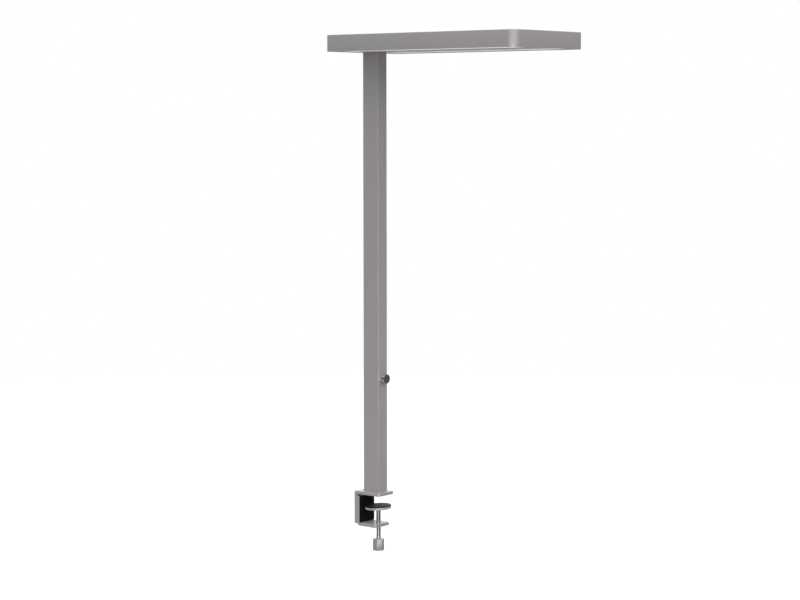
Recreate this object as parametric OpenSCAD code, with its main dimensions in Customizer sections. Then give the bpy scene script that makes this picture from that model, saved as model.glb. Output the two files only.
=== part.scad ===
// Desk-mounted office luminaire: a flat rectangular light head on a tall
// rectangular column that stands on a screw clamp at the desk's edge.
//
// Origin: on the column's axis, in the plane where the clamp's top plate
// rests on the desk. +Z is up, +X is the way the head reaches over the desk,
// and the clamp's mouth opens the same way.

/* [Head] */
// Length of the head, from the rear end to the front end
head_l = 622; // [500:1:900]
// Width of the head
head_w = 298; // [260:1:400]
// Height of the head
head_t = 43; // [38:1:60]
// Radius of the head's corners, seen from above
head_corner_r = 22; // [16:1:40]
// Distance from the column's axis back to the head's rear end
head_back = 49.5; // [45:0.5:120]
// Thickness of the frame's outer wall
frame_wall = 3; // [2:0.5:4]
// Rounding of the frame's long outer edges
frame_edge_r = 1.2; // [0.4:0.2:1.8]
// Width of the rim round the light openings
rim_w = 10; // [9:0.5:12]
// Depth at which the diffusers lie in the rim
rim_t = 1.9; // [1.2:0.1:3]
// Thickness of the frame's inner shelves
shelf_t = 1.5; // [1:0.1:2.5]

/* [Spine] */
// Width of the spine between the light openings
spine_w = 78; // [70:1:110]
// Width of the ledge on the spine that carries a diffuser's edge
spine_ledge = 5; // [3:0.5:8]
// Thickness of the spine's side walls
spine_wall = 2; // [1.5:0.5:3]
// Thickness of the spine's floor above its sole
spine_web_t = 2; // [1.5:0.5:4]
// Width of the spine's flanges under the top cover
spine_flange = 11; // [9:0.5:14]
// Metal left under the blind screw holes in the spine's floor
blind_floor = 1; // [0.6:0.1:1.8]

/* [Light bays] */
// Thickness of the opal diffusers
diffuser_t = 3; // [2:0.5:5]
// Height of the LED trays above the rim's underside
tray_h = 22; // [18:0.5:24]
// Sheet thickness of the LED trays
tray_t = 1.5; // [0.8:0.1:2]
// Width of a LED board
board_w = 24; // [16:1:40]
// Thickness of a LED board
board_t = 1.6; // [1:0.1:2]
// Distance that a LED board stays back from the ends of its bay
board_end = 24; // [12:1:60]
// Number of LEDs on a board
led_count = 18; // [6:1:30]
// Side of a LED package
led_size = 5; // [3:0.5:7]
// Height of a LED package
led_t = 0.9; // [0.5:0.1:2]

/* [Top cover] */
// Sheet thickness of the top cover
cover_t = 1.5; // [1:0.1:2.5]
// Depth at which the top cover lies in the frame
cover_inset = 0.4; // [0.2:0.1:1]
// Distance from the head's edge to an uplight window
window_inset = 14; // [13:1:30]
// Corner radius of the uplight windows
window_r = 10; // [4:1:20]
// Thickness of the uplight lenses
lens_t = 2.5; // [1.5:0.5:4]
// How far a lens reaches under the cover, round its window
lens_overlap = 4; // [2:0.5:4]

/* [Column] */
// Size of the column along X
col_x = 52; // [48:0.2:70]
// Size of the column along Y
col_y = 36.4; // [34:0.2:60]
// Height of the column
col_h = 1180; // [600:5:1500]
// Radius of the column's long outer edges
col_edge_r = 1; // [0.5:0.1:4]
// Wall thickness of the column's extrusion
col_wall = 2.4; // [1.6:0.1:3]
// Outer radius of the screw ports in the column's corners
port_r = 4.6; // [4.2:0.1:5.5]
// Distance from the column's inner walls to a port's axis
port_in = 3.2; // [2.6:0.1:4]
// Thickness of the ribs that hold the dimmer's board
guide_t = 1.2; // [0.8:0.1:2]
// Height of the ribs that hold the dimmer's board
guide_h = 3; // [2:0.5:4]

/* [Dimmer] */
// Height of the dimmer's axis above the column's foot
dimmer_h = 308.5; // [120:0.5:500]
// Diameter of the knob
knob_d = 23.2; // [20:0.2:32]
// Distance from the column to the knob's face
knob_reach = 15.2; // [12:0.2:20]
// Gap between the column and the knob's back edge
knob_gap = 0.8; // [0.7:0.1:1.5]
// Depth of the pocket in the knob's back, over the bushing's nut
knob_pocket = 3.2; // [2.8:0.1:4]
// Thickness of the dark cap on the knob's front
face_t = 1.4; // [1:0.1:2.5]
// Chamfer round the dark cap
face_chamfer = 0.3; // [0.2:0.1:0.6]
// Depth of the cap's spigot in the knob
face_spigot = 1.2; // [0.8:0.1:2]
// Diameter of the dimmer's shaft
shaft_d = 6; // [4:0.5:6]
// Diameter of the dimmer's threaded bushing
bushing_d = 9; // [8:0.5:10]
// Side of the dimmer's square body
encoder_w = 13; // [11:0.5:14]
// Depth of the dimmer's square body
encoder_depth = 10.3; // [9:0.1:12]
// Length of the bushing outside the column
bushing_out = 2.8; // [2.4:0.1:3.4]
// Thickness of the bushing's nut
nut_t = 2; // [1.5:0.1:2.2]
// Length of the dimmer's rotor
rotor_l = 4; // [3:0.5:5]
// Length of the dimmer's board
dimmer_board_l = 40; // [32:1:60]
// Distance from the dimmer's axis up to the top of its plug
plug_top = 14; // [12:1:16]
// Height of the plug on the dimmer's board
plug_h = 8; // [5:0.5:10]
// Travel of the knob when it is pressed
push_travel = 0.5; // [0.2:0.1:0.5]

/* [Driver and wiring] */
// Length of the LED driver
driver_l = 240; // [120:5:360]
// Width of the LED driver
driver_w = 40; // [24:1:50]
// Height of the LED driver
driver_t = 22; // [16:1:30]
// Length of the driver's screw ears
ear_l = 8; // [7:0.5:12]
// Thickness of the driver's screw ears
ear_t = 2; // [1:0.5:4]
// Distance from the column's front face to the terminal block
terminal_gap = 6; // [4:0.5:20]
// Length of the terminal block
terminal_l = 18; // [14:1:24]
// Width of the terminal block
terminal_w = 24; // [18:1:26]
// Height of the terminal block
terminal_t = 12; // [10:1:16]
// Distance between the terminal block and the driver's screw ear
wiring_gap = 4; // [2:0.5:10]
// Hole for the wire grommet in the spine's floor
grommet_d = 11; // [9:0.5:12]
// Thickness of the grommets' flanges
flange_t = 1.2; // [0.8:0.1:2]
// Diameter of the control lead
lead_d = 4; // [3:0.5:5]
// Radius of the control lead's bend
lead_bend = 8; // [6:0.5:9]
// Height of the control lead above the spine's floor
lead_rise = 12; // [11:0.5:14]

/* [Cord inlet] */
// Height of the cord's grommet above the column's foot
inlet_h = 45; // [25:1:120]
// Bore of the cord's grommet
inlet_d = 7.4; // [5:0.2:9]
// Wall of the cord's grommet in its hole
inlet_wall = 2.5; // [1.5:0.1:3.5]

/* [Clamp] */
// Thickness of both clamp brackets
plate_t = 8; // [6:0.5:10]
// Distance from the column's axis back to the clamp's rear face
clamp_back = 48.4; // [46:0.2:70]
// Reach of the top plate in front of the column's axis
seat_reach = 37.8; // [34:0.2:70]
// Width of the upper bracket
seat_w = 62; // [56:1:90]
// Length of the upper bracket's leg below the seat
leg_l = 80.5; // [70:0.5:84]
// Radius of the upper bracket's rear corner
leg_corner_r = 3; // [1:0.5:5]
// Radius of the brackets' free corners, seen from above
plate_corner_r = 4; // [1:0.5:8]
// Height between the seat and the lower plate
jaw_h = 78.5; // [74:0.5:110]
// Reach of the lower plate in front of the column's axis
lower_reach = 23.5; // [20:0.5:60]
// Width of the lower bracket
lower_w = 60; // [50:1:80]
// Outer radius of the lower bracket's bend
bend_r = 9; // [8.5:0.5:14]
// Distance from the seat down to the top of the lower bracket's leg
lower_leg_drop = 5; // [3:0.5:10]
// Thickness of the back pad
back_pad_t = 2.8; // [2:0.2:4]
// Height of the back pad
back_pad_h = 70.6; // [50:0.2:72]
// Width of the back pad
back_pad_w = 59.4; // [40:0.2:60]

/* [Clamp screw] */
// Distance from the column's axis forward to the screw's axis
screw_x = 10; // [6:0.5:14]
// Diameter of the clamp screw
screw_d = 12; // [10:0.5:12]
// Pitch of the clamp screw's thread
screw_pitch = 3; // [1.5:0.25:3]
// Diameter of the threaded bush in the lower plate
bush_d = 20; // [17:0.5:24]
// Diameter of the screw's spigot through the pressure plate
spigot_d = 8; // [7:0.5:8]
// Width of the six-sided grip across its flats
grip_af = 26.7; // [24:0.1:36]
// Turn of the grip's flats and pin about the screw, at rest
grip_turn = 24.5; // [0:0.5:60]
// Length of the grip
grip_l = 31; // [20:1:50]
// Distance from the seat down to the grip's top
grip_drop = 121.4; // [118:0.2:150]
// Depth to which the screw goes into the grip
grip_hold = 24; // [14:1:26]
// Chamfer on the corners at both ends of the grip
grip_chamfer = 0.6; // [0.2:0.1:2]
// Diameter of the pin through the grip
grip_pin_d = 4; // [3:0.5:5]

/* [Pressure plate] */
// Diameter of the pressure plate
foot_d = 71; // [50:1:72]
// Thickness of the pressure plate
foot_t = 5.5; // [5.5:0.1:8]
// Rounding of the pressure plate's edge
foot_edge_r = 1.6; // [0.5:0.1:2.5]
// Diameter of the rubber pad on the plate
pad_d = 70.4; // [40:0.2:71]
// Thickness of the rubber pad
pad_t = 3.4; // [2:0.2:6]
// Distance from the seat down to the middle of the pad's top
pad_drop = 29.6; // [20:0.2:40]
// Radius of the domed washer that the plate rocks on
dome_r = 12; // [11.5:0.5:14]
// Diameter of the domed washer
dome_d = 17; // [16:0.5:18]
// Height of the domed washer's straight edge
dome_edge = 0.9; // [0.5:0.1:1.5]
// Height of the plate's underside above the screw's shoulder
foot_lift = 1.4; // [1.2:0.1:1.6]
// Height of the floor under the retaining ring above the screw's shoulder
ring_floor = 4.6; // [4.5:0.05:4.7]
// Lean of the plate on its domed washer, at rest
foot_lean = 3; // [0:0.5:3]
// Direction of the plate's raised side, from +X towards +Y
lean_dir = 40; // [0:5:90]

/* [Fits] */
// Running clearance of shafts and domed seats, on the radius
run_gap = 0.05; // [0.02:0.01:0.1]
// Gap round panels and between neighbours that don't touch
seat_gap = 0.3; // [0.2:0.05:0.5]

/* [Fasteners] */
// Diameter of the large screws
m6_d = 6; // [5:0.5:6]
// Head diameter of the large screws
m6_head_d = 10; // [9:0.5:10.5]
// Head height of the large screws
m6_head_t = 5; // [3:0.5:6]
// Head height of the clamp's low-head screws
m6_low_head_t = 3.4; // [2.6:0.2:5]
// Depth to which the column's screws go into its ports
port_screw_l = 18; // [10:1:40]
// Diameter of the small screws
m3_d = 3; // [2.5:0.5:3.5]
// Head diameter of the small screws
m3_head_d = 5.6; // [5:0.2:6.4]
// Head height of the small screws
m3_head_t = 1.8; // [1.4:0.1:3]
// Head diameter of the small countersunk screws
m3_flat_d = 5; // [4.6:0.2:6]
// Depth of the countersunk screws' heads under their face
sink = 0.2; // [0.1:0.05:0.4]

/* [Hidden] */
$fn = 72;

head_z = plate_t + col_h;
head_x0 = -head_back;
head_x1 = head_l - head_back;
head_mid = (head_x0 + head_x1) / 2;

shelf_tip = rim_w - 3;
cover_h = head_t - cover_inset - cover_t;
spine_out = spine_w / 2 - spine_ledge;
spine_floor = rim_t + spine_web_t;
bay_y = (spine_out + head_w / 2 - frame_wall) / 2;

port_x = col_x / 2 - col_wall - port_in;
port_y = col_y / 2 - col_wall - port_in;
ports = [[port_x, port_y], [-port_x, port_y], [-port_x, -port_y], [port_x, -port_y]];

dimmer_z = plate_t + dimmer_h;
wall_in = col_x / 2 - col_wall;
encoder_front = wall_in - seat_gap;
board_front = encoder_front - encoder_depth;
bushing_end = col_x / 2 + bushing_out;
rotor_back = board_front + 2.6;
rotor_d = encoder_w - 3.1;
knob_front = col_x / 2 + knob_reach - face_t;
shaft_end = knob_front - face_spigot - 1;

// The wiring: the lead rises on the column's axis
wire_x = 0;
lead_h = spine_floor + lead_rise;
lead_hole_r = lead_d / 2 + 0.8;
terminal_x = col_x / 2 + terminal_gap;
driver_x = terminal_x + terminal_l + wiring_gap + ear_l;
inlet_hole_r = inlet_d / 2 + inlet_wall;
inlet_out = 2;
inlet_catch = 1.6;

lower_back = plate_t - clamp_back;
pad_back = lower_back + plate_t;
back_pad_top = lower_leg_drop + 1.4;
bracket_screw_y = seat_w / 4;
bracket_screw_z = [-leg_l * 0.28, -leg_l * 0.76];

// The domed washer's centre, seen from the screw's shoulder
dome_centre = dome_edge - sqrt(dome_r ^ 2 - (dome_d / 2) ^ 2);
rock_top = foot_lift + foot_t + pad_t - dome_centre;
rock_z = -pad_drop - rock_top * cos(foot_lean);
shoulder_z = rock_z - dome_centre;
seat_r = dome_r + run_gap;
foot_bore_r = spigot_d / 2 + 1.2;
ring_clear = 0.55;
ring_groove = ring_floor + ring_clear;
ring_groove_deep = 0.3;
ring_t = 0.8;
ring_d = spigot_d + 5.6;
screw_tip = ring_groove + ring_t + 0.5;
edge_r = 1;
// How far a hole's cutter runs past the faces it leaves by
cut = 1;

grip_pin_z = -grip_drop - grip_hold / 2;
pin_sink = 0.4;

// ---------------------------------------------------------------- shared shapes

// A rectangle with round corners, about its own centre
module rounded_rect(l, w, r) {
    square([l - 2 * r, w], center = true);
    square([l, w - 2 * r], center = true);
    for (x = [-1, 1], y = [-1, 1])
        translate([x * (l / 2 - r), y * (w / 2 - r)]) circle(r);
}

// Carries a cross-section round the head: x = 0 is the head's outer face, x < 0 is inside
module around_head() {
    r = head_corner_r;
    for (i = [0:3])
        translate([i == 0 || i == 3 ? head_x1 - r : head_x0 + r,
                (i < 2 ? 1 : -1) * (head_w / 2 - r), head_z])
            rotate([0, 0, 90 * i]) {
                rotate_extrude(angle = 90) translate([r, 0]) children();
                translate([r, 0, 0]) rotate([90, 0, 0])
                    linear_extrude((i % 2 == 0 ? head_w : head_l) - 2 * r) children();
            }
}

// Extrudes a cross-section, drawn in Y and height, along X inside the head
module along_head(x0, x1) {
    translate([x0, 0, head_z]) rotate([90, 0, 90]) linear_extrude(x1 - x0) children();
}

// Puts a shape drawn for the far side (1) on the near side (-1)
module on_side(side) {
    if (side < 0) mirror([0, 1, 0]) children();
    else children();
}

// Outline of the far light bay, from the spine's wall to the frame's wall, less a gap all round
module bay_outline(gap) {
    intersection() {
        translate([head_mid, 0])
            rounded_rect(head_l - 2 * (frame_wall + gap), head_w - 2 * (frame_wall + gap),
                head_corner_r - frame_wall - gap);
        translate([head_x0, spine_out + gap]) square([head_l, head_w / 2]);
    }
}

// Outline of the far uplight window, grown by a margin
module window_outline(grow) {
    w = head_w / 2 - window_inset - spine_w / 2;
    translate([head_mid, spine_w / 2 + w / 2])
        rounded_rect(head_l - 2 * window_inset + 2 * grow, w + 2 * grow, window_r + grow);
}

// A cap-head screw whose head rests on z = 0 and whose shank points down
module cap_screw(d, head_d, head_t, l) {
    translate([0, 0, -l]) cylinder(d = d, h = l + head_t / 2);
    difference() {
        cylinder(d = head_d, h = head_t);
        translate([0, 0, head_t / 2]) cylinder(d = d * 0.96, h = head_t, $fn = 6);
    }
}

// A countersunk screw whose head is flush with z = 0 and whose shank points down
module flat_screw(d, head_d, l) {
    difference() {
        rotate_extrude() polygon([[0, 0], [head_d / 2, 0], [head_d / 2, -0.4],
            [d / 2, -0.4 - (head_d - d) / 2], [d / 2, -l], [0, -l]]);
        translate([0, 0, -d * 0.45]) cylinder(d = d * 0.7, h = d, $fn = 6);
    }
}

// The hole for a countersunk screw, with its axis and head as the screw's
module flat_screw_hole(d, head_d, l) {
    g = seat_gap;
    rotate_extrude() polygon([[0, 1], [head_d / 2 + g, 1], [head_d / 2 + g, -0.4 - g / 2],
        [d / 2 + g, -0.4 - g / 2 - (head_d - d) / 2], [d / 2 + g, -l], [0, -l]]);
}

// The hole for a small screw's thread, from z = 0 down past the given depth
module m3_thread(depth) {
    translate([0, 0, -depth - 1]) cylinder(d = m3_d + 2 * run_gap, h = depth + 2);
}

// Corner cut that rounds an outer edge of radius r at [0, 0], with the solid at x < 0, y > 0
module edge_cut(r) {
    difference() {
        translate([-r, -1]) square([r + 1, r + 1]);
        translate([-r, r]) circle(r);
    }
}

// ---------------------------------------------------------------- head

// Cross-section of the frame: outer wall, rim, tray shelf and cover shelf
module frame_section() {
    difference() {
        translate([-frame_wall, 0]) square([frame_wall, head_t]);
        edge_cut(frame_edge_r);
        translate([0, head_t]) mirror([0, 1]) edge_cut(frame_edge_r);
    }
    translate([-rim_w, 0]) square([rim_w - frame_wall / 2, rim_t]);
    for (h = [tray_h, cover_h])
        translate([-shelf_tip, h - shelf_t]) square([shelf_tip - frame_wall / 2, shelf_t]);
}

module head_frame() {
    color([0.58, 0.57, 0.58]) difference() {
        around_head() frame_section();
        tray_screw_places(outer = true) m3_thread(shelf_t);
    }
}

// Half of the spine's cross-section above its sole
module spine_half() {
    translate([0, rim_t]) square([spine_out, spine_web_t]);
    translate([spine_out - spine_wall, rim_t]) square([spine_wall, cover_h - rim_t]);
    translate([spine_out - spine_wall, tray_h - shelf_t]) square([spine_wall + spine_ledge, shelf_t]);
    translate([spine_out - spine_flange, cover_h - spine_wall]) square([spine_flange, spine_wall]);
}

module head_spine() {
    color([0.6, 0.59, 0.6]) difference() {
        union() {
            along_head(head_x0 + shelf_tip + seat_gap, head_x1 - shelf_tip - seat_gap)
                for (m = [0, 1]) mirror([m, 0]) spine_half();
            along_head(head_x0 + rim_w + seat_gap, head_x1 - rim_w - seat_gap)
                translate([-spine_w / 2, 0]) square([spine_w, rim_t]);
        }
        for (p = ports)
            translate([p.x, p.y, head_z - cut]) cylinder(d = m6_d + 2 * seat_gap, h = spine_floor + 2 * cut);
        translate([wire_x, 0, head_z - cut]) cylinder(d = grommet_d, h = spine_floor + 2 * cut);
        driver_screw_places() m3_thread(spine_floor - blind_floor - 1);
        tray_screw_places(outer = false) m3_thread(shelf_t);
        cover_screw_places() m3_thread(cover_t + spine_wall);
    }
}

module diffuser(side) {
    color([0.93, 0.92, 0.9]) on_side(side)
        translate([0, 0, head_z + rim_t]) linear_extrude(diffuser_t) bay_outline(seat_gap);
}
module diffuser_near() diffuser(-1);
module diffuser_far() diffuser(1);

// Where the trays' screws stand: on the frame's shelf or on the spine's flange
tray_screw_x = [for (t = [0.12, 0.5, 0.88]) head_x0 + t * head_l];
module tray_screw_places(outer) {
    y = outer ? head_w / 2 - (shelf_tip + frame_wall) / 2 : spine_out + spine_ledge / 2;
    for (x = tray_screw_x, s = [-1, 1])
        translate([x, s * y, head_z + tray_h]) children();
}

module led_tray(side) {
    color([0.95, 0.95, 0.95]) difference() {
        on_side(side) translate([0, 0, head_z + tray_h]) linear_extrude(tray_t) bay_outline(seat_gap);
        for (outer = [true, false])
            tray_screw_places(outer) translate([0, 0, -1]) cylinder(d = m3_d + seat_gap, h = tray_t + 2);
    }
}
module led_tray_near() led_tray(-1);
module led_tray_far() led_tray(1);

module tray_screws() {
    color("silver") for (outer = [true, false])
        tray_screw_places(outer) translate([0, 0, tray_t])
            cap_screw(m3_d, min(m3_head_d, shelf_tip - frame_wall), m3_head_t, tray_t + shelf_t);
}

// A LED board whose top is at z = 0, with its LEDs underneath
module led_strip() {
    l = head_l - 2 * board_end;
    translate([head_mid - l / 2, -board_w / 2, -board_t]) cube([l, board_w, board_t]);
    for (i = [0:led_count - 1])
        translate([head_mid - l / 2 + (i + 0.5) * l / led_count, 0, -board_t - led_t / 2])
            cube([led_size, led_size, led_t + 0.2], center = true);
}

module led_board(side) {
    color([0.9, 0.9, 0.86]) translate([0, side * bay_y, head_z + tray_h]) led_strip();
}
module led_board_near() led_board(-1);
module led_board_far() led_board(1);

module uplight_board(side) {
    color([0.9, 0.9, 0.86]) translate([0, side * bay_y, head_z + tray_h + tray_t])
        mirror([0, 0, 1]) led_strip();
}
module uplight_board_near() uplight_board(-1);
module uplight_board_far() uplight_board(1);

// Where the top cover's screws stand, on the spine's flanges
cover_screw_x = [for (t = [0.06, 0.5, 0.94]) head_x0 + t * head_l];
module cover_screw_places() {
    for (x = cover_screw_x, s = [-1, 1])
        translate([x, s * (spine_out - spine_flange / 2), head_z + cover_h + cover_t]) children();
}

module top_cover() {
    g = frame_wall + seat_gap;
    color([0.58, 0.57, 0.58]) difference() {
        translate([0, 0, head_z + cover_h]) linear_extrude(cover_t) difference() {
            translate([head_mid, 0])
                rounded_rect(head_l - 2 * g, head_w - 2 * g, head_corner_r - g);
            for (m = [0, 1]) mirror([0, m]) window_outline(0);
        }
        cover_screw_places() flat_screw_hole(m3_d, m3_flat_d, cover_t + 1);
    }
}

module uplight_lens(side) {
    color([0.9, 0.93, 0.95, 0.6]) on_side(side)
        translate([0, 0, head_z + cover_h - lens_t]) linear_extrude(lens_t) window_outline(lens_overlap);
}
module uplight_lens_near() uplight_lens(-1);
module uplight_lens_far() uplight_lens(1);

module top_cover_screws() {
    color("dimgray") cover_screw_places() flat_screw(m3_d, m3_flat_d, cover_t + spine_wall);
}

// ---------------------------------------------------------------- inside the spine

module driver_screw_places() {
    for (x = [driver_x - ear_l / 2, driver_x + driver_l + ear_l / 2])
        translate([x, driver_w / 4, head_z + spine_floor]) children();
}

module led_driver() {
    color([0.92, 0.92, 0.92]) difference() {
        translate([driver_x + driver_l / 2, 0, head_z + spine_floor]) {
            linear_extrude(driver_t) rounded_rect(driver_l, driver_w, 2);
            linear_extrude(ear_t) rounded_rect(driver_l + 2 * ear_l, driver_w, 2);
        }
        driver_screw_places() translate([0, 0, -1]) cylinder(d = m3_d + seat_gap, h = ear_t + 2);
        for (i = [0:5])
            translate([driver_x + driver_l * (0.2 + 0.12 * i), -driver_w / 2 - 1,
                    head_z + spine_floor + driver_t - 2])
                cube([8, driver_w + 2, 3]);
    }
}

module driver_screws() {
    color("silver") driver_screw_places() translate([0, 0, ear_t])
        cap_screw(m3_d, m3_head_d, m3_head_t, ear_t + spine_floor - blind_floor - 2 * seat_gap);
}

// The mains terminals: three ways, each with a wire hole and a screw well
module terminal_block() {
    way = terminal_w / 3;
    color([0.9, 0.9, 0.85]) translate([terminal_x, seat_gap + spine_wall - spine_out, head_z + spine_floor])
        difference() {
            cube([terminal_l, terminal_w, terminal_t]);
            for (i = [0:2]) translate([0, way * (i + 0.5), 0]) {
                translate([terminal_l / 2, 0, terminal_t - 3]) cylinder(d = way / 2, h = 4);
                translate([-1, 0, terminal_t / 3]) rotate([0, 90, 0]) cylinder(d = way * 0.4, h = 6);
            }
        }
}

// The rubber ring in the spine's floor that the control lead goes through
module wire_grommet() {
    r = grommet_d / 2 - run_gap;
    flange_r = grommet_d / 2 + 0.9;
    color([0.1, 0.1, 0.1]) translate([wire_x, 0, head_z]) rotate_extrude() {
        translate([lead_hole_r, -flange_t]) square([r - lead_hole_r, spine_floor + 2 * flange_t]);
        for (h = [-flange_t, spine_floor])
            translate([lead_hole_r, h]) square([flange_r - lead_hole_r, flange_t]);
    }
}

// The lead from the dimmer's plug, up the column and through the grommet to the driver
module control_lead() {
    z0 = dimmer_z + plug_top;
    z1 = head_z + lead_h - lead_bend;
    color([0.15, 0.15, 0.16]) {
        translate([wire_x, 0, z0]) cylinder(d = lead_d, h = z1 - z0);
        translate([wire_x + lead_bend, 0, z1]) rotate([90, 0, 0]) mirror([1, 0, 0])
            rotate_extrude(angle = 90) translate([lead_bend, 0]) circle(d = lead_d);
        translate([wire_x + lead_bend, 0, head_z + lead_h]) rotate([0, 90, 0])
            cylinder(d = lead_d, h = driver_x - wire_x - lead_bend);
    }
}

// ---------------------------------------------------------------- column

// Cross-section of the column's extrusion, with screw ports and board guides
module column_section() {
    difference() {
        union() {
            difference() {
                rounded_rect(col_x, col_y, col_edge_r);
                square([col_x - 2 * col_wall, col_y - 2 * col_wall], center = true);
            }
            intersection() {
                rounded_rect(col_x, col_y, col_edge_r);
                for (p = ports) translate(p) circle(port_r);
            }
            for (s = [-1, 1], x = [board_front + seat_gap / 2,
                    board_front - board_t - guide_t - seat_gap / 2])
                translate([x, s > 0 ? col_y / 2 - col_wall - guide_h : -col_y / 2 + col_wall / 2])
                    square([guide_t, guide_h + col_wall / 2]);
        }
        for (p = ports) translate(p) circle(d = m6_d + 2 * run_gap);
    }
}

module column() {
    color([0.57, 0.56, 0.57]) difference() {
        translate([0, 0, plate_t]) linear_extrude(col_h) column_section();
        translate([0, 0, dimmer_z]) rotate([0, 90, 0]) cylinder(d = bushing_d + 2 * seat_gap, h = col_x);
        translate([0, 0, plate_t + inlet_h]) rotate([0, -90, 0]) cylinder(r = inlet_hole_r, h = col_x);
    }
}

module column_top_screws() {
    color("silver") for (p = ports)
        translate([p.x, p.y, head_z + spine_floor])
            cap_screw(m6_d, m6_head_d, m6_head_t, spine_floor + port_screw_l);
}

module column_foot_screws() {
    color("silver") for (p = ports)
        translate([p.x, p.y, sink]) mirror([0, 0, 1]) flat_screw(m6_d, m6_head_d, plate_t + port_screw_l);
}

// The rubber grommet where the cord enters the column's rear face
module cord_grommet() {
    r = inlet_hole_r;
    catch_r = r + 1.2;
    inner = col_wall + inlet_catch;
    color([0.1, 0.1, 0.1]) translate([-col_x / 2, 0, plate_t + inlet_h]) rotate([0, 90, 0])
        rotate_extrude() polygon([[inlet_d / 2, -inlet_out], [r + flange_t, -inlet_out],
            [r + 2 * flange_t, flange_t / 2 - inlet_out], [r + 2 * flange_t, 0],
            [r - run_gap, 0], [r - run_gap, col_wall], [catch_r, col_wall],
            [r, inner], [inlet_d / 2, inner]]);
}

// ---------------------------------------------------------------- dimmer

// Turns a profile, drawn as radius and distance along +X, about the dimmer's axis
module about_dimmer() {
    translate([0, 0, dimmer_z]) rotate([0, 90, 0]) rotate_extrude() children();
}

// A ring or disc about the dimmer's axis, from x0 to x1
module dimmer_disc(x0, x1, r_in, r_out) {
    about_dimmer() translate([r_in, x0]) square([r_out - r_in, x1 - x0]);
}

// The dimmer's board between the column's ribs, with the control lead's plug on its back
module dimmer_board() {
    w = col_y - 2 * col_wall - 2 * seat_gap;
    back = board_front - board_t;
    plug_back = wire_x - lead_d / 2 - 1;
    color([0.1, 0.35, 0.2]) translate([back, -w / 2, dimmer_z - dimmer_board_l / 2])
        cube([board_t, w, dimmer_board_l]);
    color([0.92, 0.92, 0.88]) translate([plug_back, -lead_d / 2 - 3, dimmer_z + plug_top - plug_h])
        cube([back - plug_back, lead_d + 6, plug_h]);
}

module dimmer_encoder() {
    bore_r = shaft_d / 2 + run_gap;
    color([0.2, 0.2, 0.22]) difference() {
        union() {
            translate([board_front, -encoder_w / 2, dimmer_z - encoder_w / 2])
                cube([encoder_depth, encoder_w, encoder_w]);
            dimmer_disc(encoder_front - 1, bushing_end, 0, bushing_d / 2);
        }
        dimmer_disc(rotor_back - 1.2, rotor_back + rotor_l + 0.2, 0, rotor_d / 2 + run_gap);
        dimmer_disc(rotor_back, bushing_end + 1, 0, bore_r);
    }
}

module dimmer_nut() {
    color("dimgray") translate([col_x / 2, 0, dimmer_z]) rotate([0, 90, 0]) difference() {
        cylinder(d = bushing_d + 4.6, h = nut_t, $fn = 6);
        translate([0, 0, -1]) cylinder(d = bushing_d + 2 * run_gap, h = nut_t + 2);
    }
}

module dimmer_rotor() {
    color([0.9, 0.9, 0.9])
        dimmer_disc(rotor_back, rotor_back + rotor_l, shaft_d / 2 + run_gap, rotor_d / 2);
}

module dimmer_shaft() {
    color("silver") dimmer_disc(rotor_back + 0.2, shaft_end, 0, shaft_d / 2);
}

// The turned metal knob: its back pocket swallows the bushing's nut, its front takes the dark cap
module dimmer_knob() {
    r = knob_d / 2;
    back = col_x / 2 + knob_gap;
    color([0.75, 0.75, 0.77]) about_dimmer() difference() {
        polygon([[0, back], [r - seat_gap, back], [r, back + seat_gap], [r, knob_front], [0, knob_front]]);
        translate([-1, back - 1]) square([bushing_d / 2 + 4.4, knob_pocket + 1]);
        translate([-1, back]) square([shaft_d / 2 + run_gap + 1, shaft_end + run_gap - back]);
        translate([-1, knob_front - face_spigot - run_gap])
            square([knob_d / 4 + run_gap + 1, face_spigot + run_gap + 1]);
    }
}

// The dark cap: a chamfered disc as wide as the knob, on a spigot
module dimmer_face() {
    r = knob_d / 2;
    color([0.28, 0.27, 0.27]) about_dimmer() translate([0, knob_front]) polygon([[0, -face_spigot],
        [knob_d / 4, -face_spigot], [knob_d / 4, 0], [r, 0], [r, face_t - face_chamfer],
        [r - face_chamfer, face_t], [0, face_t]]);
}

// ---------------------------------------------------------------- clamp

// Side view of the upper bracket, X across and height up
module upper_bracket_section() {
    difference() {
        union() {
            translate([-clamp_back, 0]) square([clamp_back + seat_reach, plate_t]);
            translate([-clamp_back, -leg_l]) square([plate_t, leg_l + plate_t / 2]);
        }
        translate([-clamp_back, plate_t]) rotate(180) edge_cut(leg_corner_r);
        translate([-clamp_back, -leg_l]) mirror([1, 0]) edge_cut(edge_r);
    }
}

// Side view of the lower bracket: its leg, bend and plate
module lower_bracket_section() {
    bend_in = bend_r - plate_t;
    bottom = -jaw_h - plate_t;
    difference() {
        union() {
            translate([lower_back, bottom]) square([plate_t, jaw_h + plate_t - lower_leg_drop]);
            translate([lower_back, bottom]) square([lower_reach - lower_back, plate_t]);
            translate([lower_back + plate_t / 2, bottom + plate_t / 2]) square(plate_t / 2 + bend_in);
        }
        translate([lower_back, bottom]) mirror([1, 0]) edge_cut(bend_r);
        translate([lower_back + bend_r, bottom + bend_r]) circle(bend_in);
    }
}

// Gives a side view its width along Y
module across(w) {
    translate([0, w / 2, 0]) rotate([90, 0, 0]) linear_extrude(w) children();
}

// Rounds the two free corners of a bracket's plate, seen from above
module free_corners(x, w, z0, z1) {
    r = plate_corner_r;
    for (s = [-1, 1])
        translate([x, s * w / 2, z0]) mirror([0, s > 0 ? 0 : 1, 0])
            linear_extrude(z1 - z0) difference() {
                translate([-r, -r]) square(r + 1);
                translate([-r, -r]) circle(r);
            }
}

module bracket_screw_places() {
    for (y = [-1, 1], z = bracket_screw_z)
        translate([-clamp_back, y * bracket_screw_y, z]) rotate([0, -90, 0]) children();
}

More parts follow.
